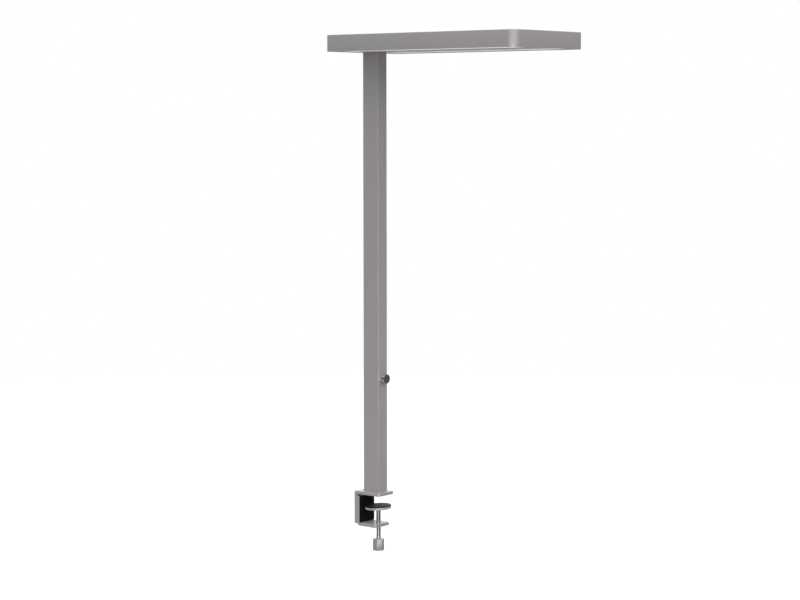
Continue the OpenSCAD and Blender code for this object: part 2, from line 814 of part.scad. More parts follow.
module upper_bracket() {
    color([0.57, 0.56, 0.57]) difference() {
        across(seat_w) upper_bracket_section();
        free_corners(seat_reach, seat_w, -1, plate_t + 1);
        for (p = ports)
            translate([p.x, p.y, sink]) mirror([0, 0, 1]) flat_screw_hole(m6_d, m6_head_d, plate_t + 2);
        bracket_screw_places()
            translate([0, 0, -plate_t - 1]) cylinder(d = m6_d + 2 * seat_gap, h = plate_t + 2);
    }
}

module lower_bracket() {
    color([0.57, 0.56, 0.57]) difference() {
        across(lower_w) lower_bracket_section();
        free_corners(lower_reach, lower_w, -jaw_h - plate_t - 1, -jaw_h + 1);
        translate([screw_x, 0, -jaw_h - plate_t - 1]) cylinder(d = bush_d + 2 * run_gap, h = plate_t + 2);
        bracket_screw_places()
            translate([0, 0, -2 * plate_t - 1]) cylinder(d = m6_d + 2 * run_gap, h = plate_t + 2);
    }
}

module bracket_screws() {
    color("dimgray") bracket_screw_places()
        cap_screw(m6_d, m6_head_d, m6_low_head_t, 2 * (plate_t - seat_gap));
}

module back_pad() {
    color([0.06, 0.06, 0.06])
        translate([pad_back, -back_pad_w / 2, -back_pad_top - back_pad_h])
            cube([back_pad_t, back_pad_w, back_pad_h]);
}

// ---------------------------------------------------------------- clamp screw

module screw_bush() {
    color([0.5, 0.5, 0.52]) translate([screw_x, 0, -jaw_h - plate_t]) difference() {
        cylinder(d = bush_d, h = plate_t);
        translate([0, 0, -1]) cylinder(d = screw_d + 2 * run_gap, h = plate_t + 2);
    }
}

// Lays what stands along Z down along the pin through the grip
module along_pin() {
    rotate([0, 0, grip_turn]) rotate([0, 90, 0]) children();
}

module clamp_screw() {
    bottom = -grip_drop - grip_hold - shoulder_z;
    color([0.8, 0.8, 0.82]) translate([screw_x, 0, shoulder_z]) difference() {
        rotate_extrude() difference() {
            polygon([[0, bottom], [screw_d / 2, bottom], [screw_d / 2, 0], [spigot_d / 2, 0],
                [spigot_d / 2, screw_tip], [0, screw_tip]]);
            translate([spigot_d / 2 - ring_groove_deep, ring_groove - run_gap])
                square([1, ring_t + 2 * run_gap]);
        }
        translate([0, 0, grip_pin_z - shoulder_z]) along_pin()
            cylinder(d = grip_pin_d + 2 * run_gap, h = 2 * screw_d, center = true);
    }
}

// The domed washer on the screw's shoulder: flat below, a sphere above
module domed_washer() {
    color([0.7, 0.7, 0.72]) translate([screw_x, 0, shoulder_z]) rotate_extrude()
        intersection() {
            translate([spigot_d / 2 + run_gap, 0]) square([(dome_d - spigot_d) / 2 - run_gap, dome_r]);
            translate([0, dome_centre]) circle(dome_r);
        }
}

// Leans what rides on the domed washer about the dome's centre
module leaning() {
    translate([screw_x, 0, rock_z]) rotate([0, 0, lean_dir]) rotate([0, -foot_lean, 0])
        translate([0, 0, -dome_centre]) children();
}

// The pressure plate: a dome seat below and a pocket for the retaining ring above
module pressure_plate() {
    r = foot_d / 2;
    e = foot_edge_r;
    top = foot_lift + foot_t;
    color([0.72, 0.72, 0.74]) leaning() rotate_extrude() difference() {
        union() {
            translate([0, foot_lift]) square([r - e, foot_t]);
            translate([0, foot_lift + e]) square([r, foot_t - 2 * e]);
            for (h = [foot_lift + e, top - e]) translate([r - e, h]) circle(e);
        }
        translate([0, dome_centre]) circle(seat_r);
        translate([-1, 0]) square([foot_bore_r + 1, top + 1]);
        translate([-1, ring_floor]) square([ring_d / 2 + 2, top]);
        translate([-dome_r * 2, -dome_r * 3]) square([dome_r * 2, dome_r * 6]);
    }
}

module pressure_pad() {
    top = foot_lift + foot_t;
    color([0.25, 0.25, 0.25]) leaning() translate([0, 0, top]) rotate_extrude()
        polygon([[0, 0], [pad_d / 2, 0], [pad_d / 2, pad_t - edge_r],
            [pad_d / 2 - edge_r, pad_t], [0, pad_t]]);
}

// The open ring that keeps the plate on the spigot
module retaining_ring() {
    color([0.3, 0.3, 0.32]) translate([screw_x, 0, shoulder_z + ring_groove]) difference() {
        cylinder(d = ring_d, h = ring_t);
        translate([0, 0, -1]) cylinder(r = spigot_d / 2 - ring_groove_deep + run_gap, h = ring_t + 2);
        translate([0, -1, -1]) cube([ring_d, 2, ring_t + 2]);
    }
}

// The six-sided grip: its corners are cut back at both ends, as a turned bar's are
module screw_grip() {
    r = grip_af / sqrt(3);
    c = grip_chamfer;
    color([0.66, 0.66, 0.68]) translate([screw_x, 0, -grip_drop - grip_l]) difference() {
        intersection() {
            rotate([0, 0, grip_turn + 30]) cylinder(r = r, h = grip_l, $fn = 6);
            rotate_extrude() polygon([[0, 0], [r - 2 * c, 0], [r, c], [r, grip_l - c],
                [r - 2 * c, grip_l], [0, grip_l]]);
        }
        translate([0, 0, grip_l - grip_hold - run_gap])
            cylinder(d = screw_d + 2 * run_gap, h = grip_hold + 1);
        translate([0, 0, grip_l - grip_hold / 2]) along_pin()
            cylinder(d = grip_pin_d + 2 * run_gap, h = 2 * r, center = true);
    }
}

module grip_pin() {
    color("silver") translate([screw_x, 0, grip_pin_z]) along_pin()
        cylinder(d = grip_pin_d, h = grip_af - 2 * pin_sink, center = true);
}

head_frame();
head_spine();
diffuser_near();
diffuser_far();
led_tray_near();
led_tray_far();
led_board_near();
led_board_far();
uplight_board_near();
uplight_board_far();
tray_screws();
top_cover();
uplight_lens_near();
uplight_lens_far();
top_cover_screws();
led_driver();
driver_screws();
terminal_block();
wire_grommet();
control_lead();
column();
column_top_screws();
column_foot_screws();
cord_grommet();
dimmer_board();
dimmer_encoder();
dimmer_nut();
dimmer_rotor();
dimmer_shaft();
dimmer_knob();
dimmer_face();
upper_bracket();
lower_bracket();
bracket_screws();
back_pad();
screw_bush();
clamp_screw();
domed_washer();
pressure_plate();
pressure_pad();
retaining_ring();
screw_grip();
grip_pin();
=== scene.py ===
"""Looks for a desk-clamp office luminaire, built round its packed solids."""

import math

import bmesh
import bpy
import numpy as np
from bpy.props import FloatProperty, FloatVectorProperty, IntProperty, PointerProperty
from bpy.types import Operator, Panel, PropertyGroup
from mathutils import Matrix, Vector


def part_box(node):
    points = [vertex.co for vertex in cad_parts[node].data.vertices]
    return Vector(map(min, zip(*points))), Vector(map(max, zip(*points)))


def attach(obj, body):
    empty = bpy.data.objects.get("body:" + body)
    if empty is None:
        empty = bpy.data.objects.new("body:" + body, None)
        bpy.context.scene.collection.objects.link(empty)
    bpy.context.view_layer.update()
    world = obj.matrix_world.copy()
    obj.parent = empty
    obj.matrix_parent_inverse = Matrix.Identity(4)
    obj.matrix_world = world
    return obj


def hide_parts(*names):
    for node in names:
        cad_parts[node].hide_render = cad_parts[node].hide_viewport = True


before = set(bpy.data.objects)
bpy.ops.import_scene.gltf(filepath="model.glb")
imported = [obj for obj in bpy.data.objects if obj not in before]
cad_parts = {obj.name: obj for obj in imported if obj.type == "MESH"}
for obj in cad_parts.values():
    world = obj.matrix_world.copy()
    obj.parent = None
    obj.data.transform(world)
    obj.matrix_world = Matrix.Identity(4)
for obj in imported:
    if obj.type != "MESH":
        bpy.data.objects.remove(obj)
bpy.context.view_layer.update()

bl_info = {
    "name": "Desk clamp luminaire",
    "version": (1, 0, 0),
    "blender": (4, 5, 0),
    "location": "View3D > Sidebar > Luminaire",
    "description": "Surfaces, finishes and studio of a desk-clamp office luminaire",
    "category": "Object",
}

# The photograph's camera, from a fit of the object's edges: degrees and metres
CAMERA_AZIMUTH, CAMERA_PITCH, CAMERA_ROLL = 39.475, 4.870, -0.052
CAMERA_PLACE = (3.7287, -4.4224, 1.0197)

HEAD_LOW, HEAD_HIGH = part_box("head_frame")
KNOB_LOW, KNOB_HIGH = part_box("dimmer_knob")
CAP_LOW, CAP_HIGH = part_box("dimmer_face")
SCREW_LOW, SCREW_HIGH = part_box("clamp_screw")
WASHER_LOW, WASHER_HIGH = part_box("domed_washer")
GRIP_LOW, GRIP_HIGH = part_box("screw_grip")


# ------------------------------------------------------------------ sizes and colours


def amount(label, text, value, low, high, unit="NONE"):
    """A setting that holds a plain number."""
    return FloatProperty(name=label, description=text, default=value, min=low, max=high, unit=unit)


def length(label, text, value, low, high):
    """A setting in metres."""
    return amount(label, text, value, low, high, unit="LENGTH")


def rotation(label, text, degrees, high):
    """A setting in degrees, kept in radians."""
    return amount(label, text, math.radians(degrees), 0, math.radians(high), unit="ROTATION")


def tint(label, text, value):
    """A setting that holds the linear colour of what the text names."""
    return FloatVectorProperty(name=label, description="Colour of the " + text, subtype="COLOR", size=3,
                               min=0, max=1, default=value)


class HeadSizes(PropertyGroup):
    """Sizes of the light head's frame and its uplight lenses"""

    corner_radius: length(
        "Corner radius", "Radius of the head's corners, seen from above", 0.022, 0.012, 0.04)
    wall: length("Wall", "Thickness of the frame's outer wall", 0.003, 0.002, 0.004)
    edge_radius: length("Edge radius", "Rounding of the frame's long outer edges", 0.0003, 0.0002, 0.0018)
    rim_width: length("Rim width", "Width of the rim round the light openings", 0.010, 0.009, 0.012)
    rim_depth: length("Rim depth", "Depth at which the diffusers lie in the rim", 0.0019, 0.0012, 0.003)
    corner_steps: IntProperty(
        name="Corner steps", description="Stations round each corner of the head",
        default=20, min=6, max=64)
    prism_pitch: length(
        "Prism pitch", "Distance between two prisms of an uplight lens", 0.004, 0.002, 0.012)
    prism_depth: length("Prism depth", "Height of the prisms of an uplight lens", 0.0009, 0.0003, 0.0015)


class DimmerSizes(PropertyGroup):
    """Sizes of the dimmer's knob"""

    knob_diameter: length("Knob diameter", "Diameter of the knob", 0.0246, 0.018, 0.034)
    knob_edge: length("Knob edge", "Rounding of the knob's back edge", 0.0004, 0.0001, 0.001)
    cap_edge: length("Cap edge", "Rounding of the dark cap's edge", 0.0005, 0.0002, 0.001)


class ClampSizes(PropertyGroup):
    """Sizes of the clamp's turned pieces"""

    screw_diameter: length("Screw diameter", "Diameter over the clamp screw's thread", 0.012, 0.01, 0.0122)
    thread_pitch: length(
        "Thread pitch", "Distance from one turn of the thread to the next", 0.003, 0.0015, 0.004)
    thread_depth: length("Thread depth", "Depth of the thread's groove", 0.0004, 0.0002, 0.0016)
    plate_diameter: length("Pressure plate diameter", "Diameter of the pressure plate", 0.071, 0.05, 0.072)
    plate_thickness: length(
        "Pressure plate thickness", "Thickness of the pressure plate", 0.0065, 0.004, 0.008)
    pad_diameter: length("Pad diameter", "Diameter of the rubber pad on the plate", 0.0704, 0.04, 0.071)
    pad_thickness: length("Pad thickness", "Thickness of the rubber pad on the plate", 0.0024, 0.002, 0.006)
    lean: rotation("Lean", "Lean of the pressure plate on its domed washer", 3, 5)
    lean_direction: rotation(
        "Lean direction", "Direction of the plate's raised side, from +X towards +Y", 40, 90)
    grip_flats: length(
        "Grip across flats", "Width of the six-sided grip across its flats", 0.0267, 0.02, 0.028)
    grip_turn: rotation("Grip turn", "Turn of the grip's flats about the screw, from +X towards +Y", 24.5, 60)
    grip_cut: length(
        "Grip corner cut", "Height over which the grip's corners are cut back", 0.0003, 0.0002, 0.002)
    edge_rounding: length("Bracket edges", "Rounding of the brackets' edges", 0.001, 0.0002, 0.0015)


class FinishColours(PropertyGroup):
    """Colours of the object's finishes"""

    coat: tint("Silver-grey coat", "coated head, column and brackets", (0.372, 0.353, 0.364))
    opal: tint("Opal sheet", "opal diffusers", (0.9, 0.89, 0.86))
    lens: tint("Uplight lens", "clear uplight lenses", (0.36, 0.37, 0.37))
    polished: tint("Polished steel", "clamp screw and the knob", (0.62, 0.61, 0.62))
    turned: tint("Turned steel", "pressure plate", (0.35, 0.34, 0.35))
    grip: tint("Grip", "satin grip", (0.35, 0.34, 0.35))
    zinc: tint("Zinc plating", "screws and washers", (0.52, 0.53, 0.55))
    pad: tint("Pressure pad rubber", "pressure plate's pad", (0.007, 0.0063, 0.0062))
    rubber: tint("Black rubber", "back pad and the grommets", (0.004, 0.0036, 0.003))
    cap: tint("Knob cap", "knob's dark cap", (0.06, 0.055, 0.057))
    white: tint("White sheet", "trays and the driver's case", (0.8, 0.8, 0.79))


class StudioSettings(PropertyGroup):
    """Light, floor and camera"""

    sky: amount("Sky", "Strength of the light from above", 1.3, 0, 5)
    ground: amount("Ground", "Strength of the light from below", 0.4, 0, 5)
    overhead: amount("Overhead share", "How much stronger the sky is overhead than all round", 1.7, 0, 4)
    mirrored_sky: amount(
        "Mirrored sky", "Strength of the sky as metal and glossy faces reflect it", 1.6, 0, 5)
    lamp_power: amount("Lamp power", "Power of the soft lamp", 205, 0, 2000, unit="POWER")
    floor_drop: length("Floor drop", "Height of the desk's seat above the floor", 0.74, 0.2, 1.2)
    lens_length: amount("Camera lens", "Focal length on a 36 mm sensor, in millimetres", 97.207, 20, 300)


# ------------------------------------------------------------------ surfaces


def new_object(name, data):
    """An object in the scene."""
    made = bpy.data.objects.new(name, data)
    bpy.context.scene.collection.objects.link(made)
    return made


def put_mesh(name, points, quads, body, replaced, finish, crease=30.0):
    """Makes one closed piece from whole arrays: doubles are merged, faces point outwards,
    and edges that bend by more than crease degrees stay sharp."""
    mesh = bpy.data.meshes.new(name)
    mesh.from_pydata(points.reshape(-1, 3).tolist(), [], quads.tolist())
    work = bmesh.new()
    work.from_mesh(mesh)
    bmesh.ops.remove_doubles(work, verts=work.verts, dist=2e-6)
    bmesh.ops.dissolve_degenerate(work, edges=work.edges, dist=1e-7)
    bmesh.ops.recalc_face_normals(work, faces=work.faces)
    work.to_mesh(mesh)
    work.free()
    mesh.shade_smooth()
    mesh.set_sharp_from_angle(angle=math.radians(crease))
    mesh.materials.append(MATERIALS[finish])
    piece = new_object(name, mesh)
    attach(piece, body)
    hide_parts(*replaced)


def grid_quads(rows, columns, wrap_rows=False, wrap_columns=False):
    """Quads of a grid of rows x columns points: point (i, j) joins (i + 1, j + 1),
    and a wrapped direction joins its last line to its first."""
    i = np.arange(rows if wrap_rows else rows - 1)[:, None]
    j = np.arange(columns if wrap_columns else columns - 1)[None, :]
    i2, j2 = (i + 1) % rows, (j + 1) % columns
    return np.stack([i * columns + j, i2 * columns + j, i2 * columns + j2, i * columns + j2],
                    axis=-1).reshape(-1, 4)


# Faces round an arc of a profile, and once round each turned piece
ARC_STEPS, SCREW_SIDES, KNOB_SIDES, PLATE_SIDES = 4, 64, 128, 160


def rounded_profile(corners, radius=0.0):
    """A profile with its corners rounded: each corner becomes an arc of the given radius,
    tangent to both its sides. corners is a list of (u, v) or (u, v, own radius)."""
    flat = np.array([c[:2] for c in corners], float)
    radii = np.array([c[2] if len(c) > 2 else radius for c in corners], float)
    out = []
    for k, r in enumerate(radii):
        before, here, after = flat[k - 1], flat[k], flat[(k + 1) % len(flat)]
        if r <= 0:
            out.append(here[None, :])
            continue
        a = (before - here) / np.linalg.norm(before - here)
        b = (after - here) / np.linalg.norm(after - here)
        half = math.acos(np.clip(a @ b, -1, 1)) / 2
        reach = r / math.tan(half)
        middle = here + (a + b) / np.linalg.norm(a + b) * r / math.sin(half)
        start, end = here + a * reach - middle, here + b * reach - middle
        sweep = math.pi - 2 * half
        t = np.linspace(0, 1, ARC_STEPS + 1)[:, None]
        out.append(middle + (np.sin((1 - t) * sweep) * start + np.sin(t * sweep) * end) / math.sin(sweep))
    return np.concatenate(out)


def revolve(profile, steps, axes, centre):
    """A profile of (radius, height) points carried once round an axis:
    P = centre + r (cos t e1 + sin t e2) + h e3, where axes holds e1, e2 and e3."""
    turn = np.linspace(0, 2 * math.pi, steps, endpoint=False)
    e1, e2, e3 = (np.array(a, float) for a in axes)
    ring = np.cos(turn)[:, None] * e1 + np.sin(turn)[:, None] * e2
    points = (profile[None, :, 0, None] * ring[:, None, :]
              + profile[None, :, 1, None] * e3 + np.array(centre, float))
    return points, grid_quads(steps, len(profile), wrap_rows=True)


UPRIGHT = ((1, 0, 0), (0, 1, 0), (0, 0, 1))
FORWARD = ((0, 1, 0), (0, 0, 1), (1, 0, 0))


def leaning_axes(sizes):
    """The pressure plate's own axes: e3 leans from upright by the lean, away from the side
    that the plate raises."""
    turn = Matrix.Rotation(sizes.lean_direction, 3, "Z") @ Matrix.Rotation(-sizes.lean, 3, "Y")
    return tuple(tuple(turn.col[k]) for k in range(3))


# ------------------------------------------------------------------ shader building


GROUPS = {}
NUMBER, COLOUR, VECTOR = "NodeSocketFloat", "NodeSocketColor", "NodeSocketVector"


def new_group(name, inputs, outputs):
    """A shader node group and its ends' sockets; inputs are (name, socket type, default)."""
    tree = bpy.data.node_groups.new(name, "ShaderNodeTree")
    for label, kind, value in inputs:
        made = tree.interface.new_socket(label, in_out="INPUT", socket_type=kind)
        if value is not None:
            made.default_value = value
    for label, kind in outputs:
        tree.interface.new_socket(label, in_out="OUTPUT", socket_type=kind)
    return tree, tree.nodes.new("NodeGroupInput").outputs, tree.nodes.new("NodeGroupOutput").inputs


def feed(tree, socket, value):
    """Links a socket to another one, or sets it to a number, vector or colour."""
    if isinstance(value, bpy.types.NodeSocket):
        tree.links.new(value, socket)
    elif socket.type == "RGBA":
        socket.default_value = (*value[:3], 1)
    else:
        socket.default_value = value


def set_inputs(tree, node, **values):
    """Feeds a node's inputs, each by its name with _ for a space."""
    for name, value in values.items():
        feed(tree, node.inputs[name.replace("_", " ")], value)


def math_node(tree, operation, a, b, clamp=False):
    """A Math node; a and b are sockets or numbers."""
    node = tree.nodes.new("ShaderNodeMath")
    node.operation = operation
    node.use_clamp = clamp
    feed(tree, node.inputs[0], a)
    feed(tree, node.inputs[1], b)
    return node.outputs[0]


# A Mix node's data type, and the places of its A, B and result, whose names are shared
MIX_NUMBERS, MIX_COLOURS = ("FLOAT", 2, 3, 0), ("RGBA", 6, 7, 2)


def mix(tree, kind, factor, a, b):
    """A Mix node of either kind: a where factor is 0 and b where it is 1."""
    node = tree.nodes.new("ShaderNodeMix")
    node.data_type, first, second, result = kind
    for place, value in ((0, factor), (first, a), (second, b)):
        feed(tree, node.inputs[place], value)
    return node.outputs[result]


def noise(tree, vector, scale, detail=3.0, rough=0.55):
    """A Noise Texture's value; scale is a number or a socket."""
    node = tree.nodes.new("ShaderNodeTexNoise")
    set_inputs(tree, node, Vector=vector, Scale=scale, Detail=detail, Roughness=rough)
    return node.outputs["Fac"]


def make_groups():
    """The effects that several finishes share."""

    # Fine grain: the orange-peel and grain of coats, mouldings and rubber, with slow drift of tone
    tree, given, result = new_group(
        "fine_grain",
        [("Vector", VECTOR, None), ("Colour", COLOUR, None),
         ("Roughness", NUMBER, 0.4), ("Grain Scale", NUMBER, 1500.0),
         ("Grain", NUMBER, 0.1), ("Drift", NUMBER, 0.05)],
        [("Colour", COLOUR), ("Roughness", NUMBER), ("Height", NUMBER)])
    fine = noise(tree, given["Vector"], given["Grain Scale"], 2.0)
    slow = noise(tree, given["Vector"], 9.0, 3.0)
    swing = math_node(tree, "MULTIPLY", math_node(tree, "SUBTRACT", slow, 0.5), given["Drift"])
    speck = math_node(tree, "MULTIPLY", math_node(tree, "SUBTRACT", fine, 0.5), given["Grain"])
    gain = math_node(tree, "ADD", math_node(tree, "ADD", swing, speck), 1.0)
    scaled = tree.nodes.new("ShaderNodeVectorMath")
    scaled.operation = "SCALE"
    tree.links.new(given["Colour"], scaled.inputs[0])
    tree.links.new(gain, scaled.inputs["Scale"])
    tree.links.new(scaled.outputs[0], result["Colour"])
    uneven = math_node(tree, "MULTIPLY", swing, 1.5)
    rough = math_node(tree, "ADD", given["Roughness"], uneven, clamp=True)
    tree.links.new(rough, result["Roughness"])
    tree.links.new(fine, result["Height"])
    GROUPS["grain"] = tree

    # Dust film: a thin pale film on what faces up, in soft patches
    tree, given, result = new_group(
        "dust_film",
        [("Vector", VECTOR, None), ("Colour", COLOUR, None),
         ("Roughness", NUMBER, 0.4), ("Amount", NUMBER, 0.1)],
        [("Colour", COLOUR), ("Roughness", NUMBER)])
    place = tree.nodes.new("ShaderNodeNewGeometry")
    up = tree.nodes.new("ShaderNodeSeparateXYZ")
    tree.links.new(place.outputs["Normal"], up.inputs[0])
    facing = math_node(tree, "MAXIMUM", up.outputs["Z"], 0.0)
    patch = noise(tree, given["Vector"], 60.0, 5.0, 0.65)
    mask = math_node(tree, "MULTIPLY", math_node(tree, "MULTIPLY", facing, patch), given["Amount"])
    tree.links.new(mix(tree, MIX_COLOURS, mask, given["Colour"], (0.62, 0.6, 0.57)), result["Colour"])
    dulled = math_node(tree, "MULTIPLY", mask, 0.6)
    tree.links.new(math_node(tree, "ADD", given["Roughness"], dulled, True), result["Roughness"])
    GROUPS["dust"] = tree

    # Scratches: long fine lines from noise that is drawn out along one direction
    tree, given, result = new_group(
        "drawn_lines",
        [("Vector", VECTOR, None), ("Stretch", VECTOR, (1.0, 1.0, 1.0)),
         ("Roughness", NUMBER, 0.3), ("Amount", NUMBER, 0.1)],
        [("Mask", NUMBER), ("Roughness", NUMBER), ("Height", NUMBER)])
    drawn = tree.nodes.new("ShaderNodeVectorMath")
    drawn.operation = "MULTIPLY"
    tree.links.new(given["Vector"], drawn.inputs[0])
    tree.links.new(given["Stretch"], drawn.inputs[1])
    lines = noise(tree, drawn.outputs[0], 1.0, 3.0, 0.7)
    tree.links.new(lines, result["Mask"])
    tree.links.new(lines, result["Height"])
    shift = math_node(tree, "MULTIPLY", math_node(tree, "SUBTRACT", lines, 0.5), given["Amount"])
    tree.links.new(math_node(tree, "ADD", given["Roughness"], shift, True), result["Roughness"])
    GROUPS["lines"] = tree


def start_material(name, metallic=0.0, specular=0.5):
    """An empty material with its Principled shader and an Object coordinate."""
    made = bpy.data.materials.new(name)
    made.use_nodes = True
    tree = made.node_tree
    shader = tree.nodes["Principled BSDF"]
    set_inputs(tree, shader, Metallic=metallic, Specular_IOR_Level=specular)
    place = tree.nodes.new("ShaderNodeTexCoord").outputs["Object"]
    return made, tree, shader, place


def use_group(tree, group, **values):
    """A group node; each value is a socket, colour, vector or number for the input of its name."""
    node = tree.nodes.new("ShaderNodeGroup")
    node.node_tree = group
    set_inputs(tree, node, **values)
    return node


def bump(tree, shader, height, strength, distance):
    """Bends the shader's normal by a height socket."""
    node = tree.nodes.new("ShaderNodeBump")
    set_inputs(tree, node, Strength=strength, Distance=distance, Height=height)
    tree.links.new(node.outputs[0], shader.inputs["Normal"])


def dusty(name, colour, rough, grain_scale, grain, drift, dust, **shader_values):
    """A finish with fine grain, slow drift of tone and a little dust."""
    made, tree, shader, place = start_material(name, **shader_values)
    base = use_group(tree, GROUPS["grain"], Vector=place, Colour=colour, Roughness=rough,
                     Grain_Scale=grain_scale, Grain=grain, Drift=drift)
    film = use_group(tree, GROUPS["dust"], Vector=place, Colour=base.outputs["Colour"],
                     Roughness=base.outputs["Roughness"], Amount=dust)
    set_inputs(tree, shader, Base_Color=film.outputs["Colour"], Roughness=film.outputs["Roughness"])
    return made, tree, shader, base


def grained(name, colour, rough, grain_scale, grain, drift, depth, dust=0.0, strength=0.4,
            **shader_values):
    """A coat, moulding or rubber: the dusty finish with a relief of its grain."""
    made, tree, shader, base = dusty(name, colour, rough, grain_scale, grain, drift, dust,
                                     **shader_values)
    bump(tree, shader, base.outputs["Height"], strength, depth)
    return made


def drawn_metal(name, colour, rough, stretch, amount, depth, drift=0.04, strength=0.3,
                metallic=1.0):
    """Bare or plated metal with fine drawn or turned lines."""
    made, tree, shader, place = start_material(name, metallic=metallic)
    base = use_group(tree, GROUPS["grain"], Vector=place, Colour=colour, Roughness=rough,
                     Grain_Scale=900.0, Grain=0.03, Drift=drift)
    lines = use_group(tree, GROUPS["lines"], Vector=place, Stretch=stretch,
                      Roughness=base.outputs["Roughness"], Amount=amount)
    set_inputs(tree, shader, Base_Color=base.outputs["Colour"], Roughness=lines.outputs["Roughness"])
    bump(tree, shader, lines.outputs["Height"], strength, depth)
    return made


def board_material(name, low, high):
    """A LED board: white solder mask, with yellow LEDs where the surface lies between two heights."""
    made, tree, shader, place = start_material(name)
    height = tree.nodes.new("ShaderNodeSeparateXYZ")
    tree.links.new(place, height.inputs[0])
    above = math_node(tree, "GREATER_THAN", height.outputs["Z"], low)
    below = math_node(tree, "LESS_THAN", height.outputs["Z"], high)
    led = math_node(tree, "MULTIPLY", above, below)
    base = use_group(tree, GROUPS["grain"], Vector=place, Colour=SOLDER_MASK, Roughness=0.35,
                     Grain_Scale=700.0, Grain=0.04, Drift=0.04)
    shown = mix(tree, MIX_COLOURS, led, base.outputs["Colour"], LED_YELLOW)
    set_inputs(tree, shader, Base_Color=shown, Roughness=base.outputs["Roughness"])
    bump(tree, shader, base.outputs["Height"], 0.2, 0.00002)
    return made


LED_YELLOW = (0.85, 0.68, 0.16)
SOLDER_MASK = (0.78, 0.79, 0.76)
# Painted glow of the opal sheets, which hold no lit lamp: its warm colour and its strength
OPAL_PAINTED_GLOW = (1, 0.95, 0.84)
OPAL_PAINTED_GLOW_STRENGTH = 0.18
# Heights that tell a LED from its board: the LEDs' height, and a hair past the board's face
LED_HEIGHT, LED_HAIR = 8.5e-4, 1e-4

MATERIALS = {}

# Which finish each carried-over node takes
NODE_FINISH = {
    "coat": ("head_spine", "top_cover", "column", "upper_bracket", "lower_bracket", "head_frame"),
    "opal": ("diffuser_near", "diffuser_far"),
    "lens": ("uplight_lens_near", "uplight_lens_far"),
    "white": ("led_tray_near", "led_tray_far", "led_driver"),
    "downlight_board": ("led_board_near", "led_board_far"),
    "uplight_board": ("uplight_board_near", "uplight_board_far"),
    "green_board": ("dimmer_board",),
    "zinc": ("tray_screws", "top_cover_screws", "driver_screws", "column_top_screws", "column_foot_screws",
             "bracket_screws", "grip_pin", "screw_bush", "retaining_ring", "domed_washer", "dimmer_nut"),
    "polished": ("clamp_screw", "dimmer_shaft"),
    "knob_metal": ("dimmer_knob",),
    "turned": ("pressure_plate",),
    "grip": ("screw_grip",),
    "rubber": ("back_pad", "cord_grommet", "wire_grommet"),
    "pad": ("pressure_pad",),
    "cap": ("dimmer_face",),
    "dark_plastic": ("dimmer_encoder", "control_lead"),
    "white_plastic": ("dimmer_rotor", "terminal_block"),
}


# ------------------------------------------------------------------ operators


class LUMINAIRE_OT_finishes(Operator):
    """Makes the finishes and gives each carried-over node its own"""

    bl_idname = "luminaire.finishes"
    bl_label = "Finishes"

    def execute(self, context):
        c = context.scene.luminaire_colours
        make_groups()
        m = MATERIALS
        m["coat"] = grained("silver_grey_coat", c.coat, 0.4, 2600.0, 0.05, 0.03, 0.00002,
                            dust=0.05, metallic=0.35, strength=0.25)
        m["opal"] = grained("opal_sheet", c.opal, 0.3, 900.0, 0.01, 0.01, 0.00001, strength=0.1)
        # Painted glow: a faint warm emission makes the sheets brighter than the ground lights them; no lamp
        # in the head is lit
        tree = m["opal"].node_tree
        set_inputs(tree, tree.nodes["Principled BSDF"], Emission_Color=OPAL_PAINTED_GLOW,
                   Emission_Strength=OPAL_PAINTED_GLOW_STRENGTH)
        m["white"] = grained("white_sheet", c.white, 0.4, 1400.0, 0.03, 0.02, 0.00002, strength=0.2)
        m["rubber"] = grained("black_rubber", c.rubber, 0.72, 1300.0, 0.5, 0.25, 0.00006,
                              dust=0.01, strength=0.5, specular=0.12)
        m["pad"] = grained("pad_rubber", c.pad, 0.5, 1100.0, 0.5, 0.2, 0.00005,
                           dust=0.01, strength=0.4, specular=0.1)
        m["cap"] = grained("knob_cap", c.cap, 0.5, 1500.0, 0.7, 0.1, 0.0001,
                           dust=0.03, strength=0.8, specular=0.4)
        for name, *look in (
                ("dark_plastic", (0.03, 0.03, 0.032), 0.5, 1200.0, 0.2, 0.1, 0.00004),
                ("white_plastic", (0.78, 0.78, 0.74), 0.4, 1200.0, 0.05, 0.03, 0.00003),
                ("green_board", (0.02, 0.14, 0.06), 0.35, 600.0, 0.2, 0.1, 0.00003)):
            m[name] = grained(name, *look)
        m["polished"] = drawn_metal("polished_steel", c.polished, 0.1, (2600.0, 2600.0, 90.0), 0.05,
                                    0.000005, strength=0.05)
        m["knob_metal"] = drawn_metal("knob_metal", c.polished, 0.08, (3000.0, 60.0, 60.0), 0.04,
                                      0.000005, strength=0.05)
        m["turned"] = drawn_metal("turned_steel", c.turned, 0.34, (60.0, 60.0, 3200.0), 0.15,
                                  0.00002, metallic=0.35)
        m["grip"] = drawn_metal("satin_grip", c.grip, 0.4, (60.0, 60.0, 2400.0), 0.06, 0.00001,
                                drift=0.02, strength=0.2, metallic=0.5)
        m["zinc"] = drawn_metal("zinc_plating", c.zinc, 0.34, (700.0, 700.0, 700.0), 0.2, 0.00003)
        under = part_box("led_board_near")[0][2]
        m["downlight_board"] = board_material("downlight_board", under - LED_HAIR, under + LED_HEIGHT)
        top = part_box("uplight_board_near")[1][2]
        m["uplight_board"] = board_material("uplight_board", top - LED_HEIGHT, top + LED_HAIR)

        m["lens"], tree, shader, _ = dusty("uplight_lens", c.lens, 0.12, 500.0, 0.02, 0.02, 0.1)
        set_inputs(tree, shader, Alpha=0.45)

        for finish, nodes in NODE_FINISH.items():
            for name in nodes:
                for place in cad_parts[name].material_slots:
                    place.material = m[finish]
        return {"FINISHED"}


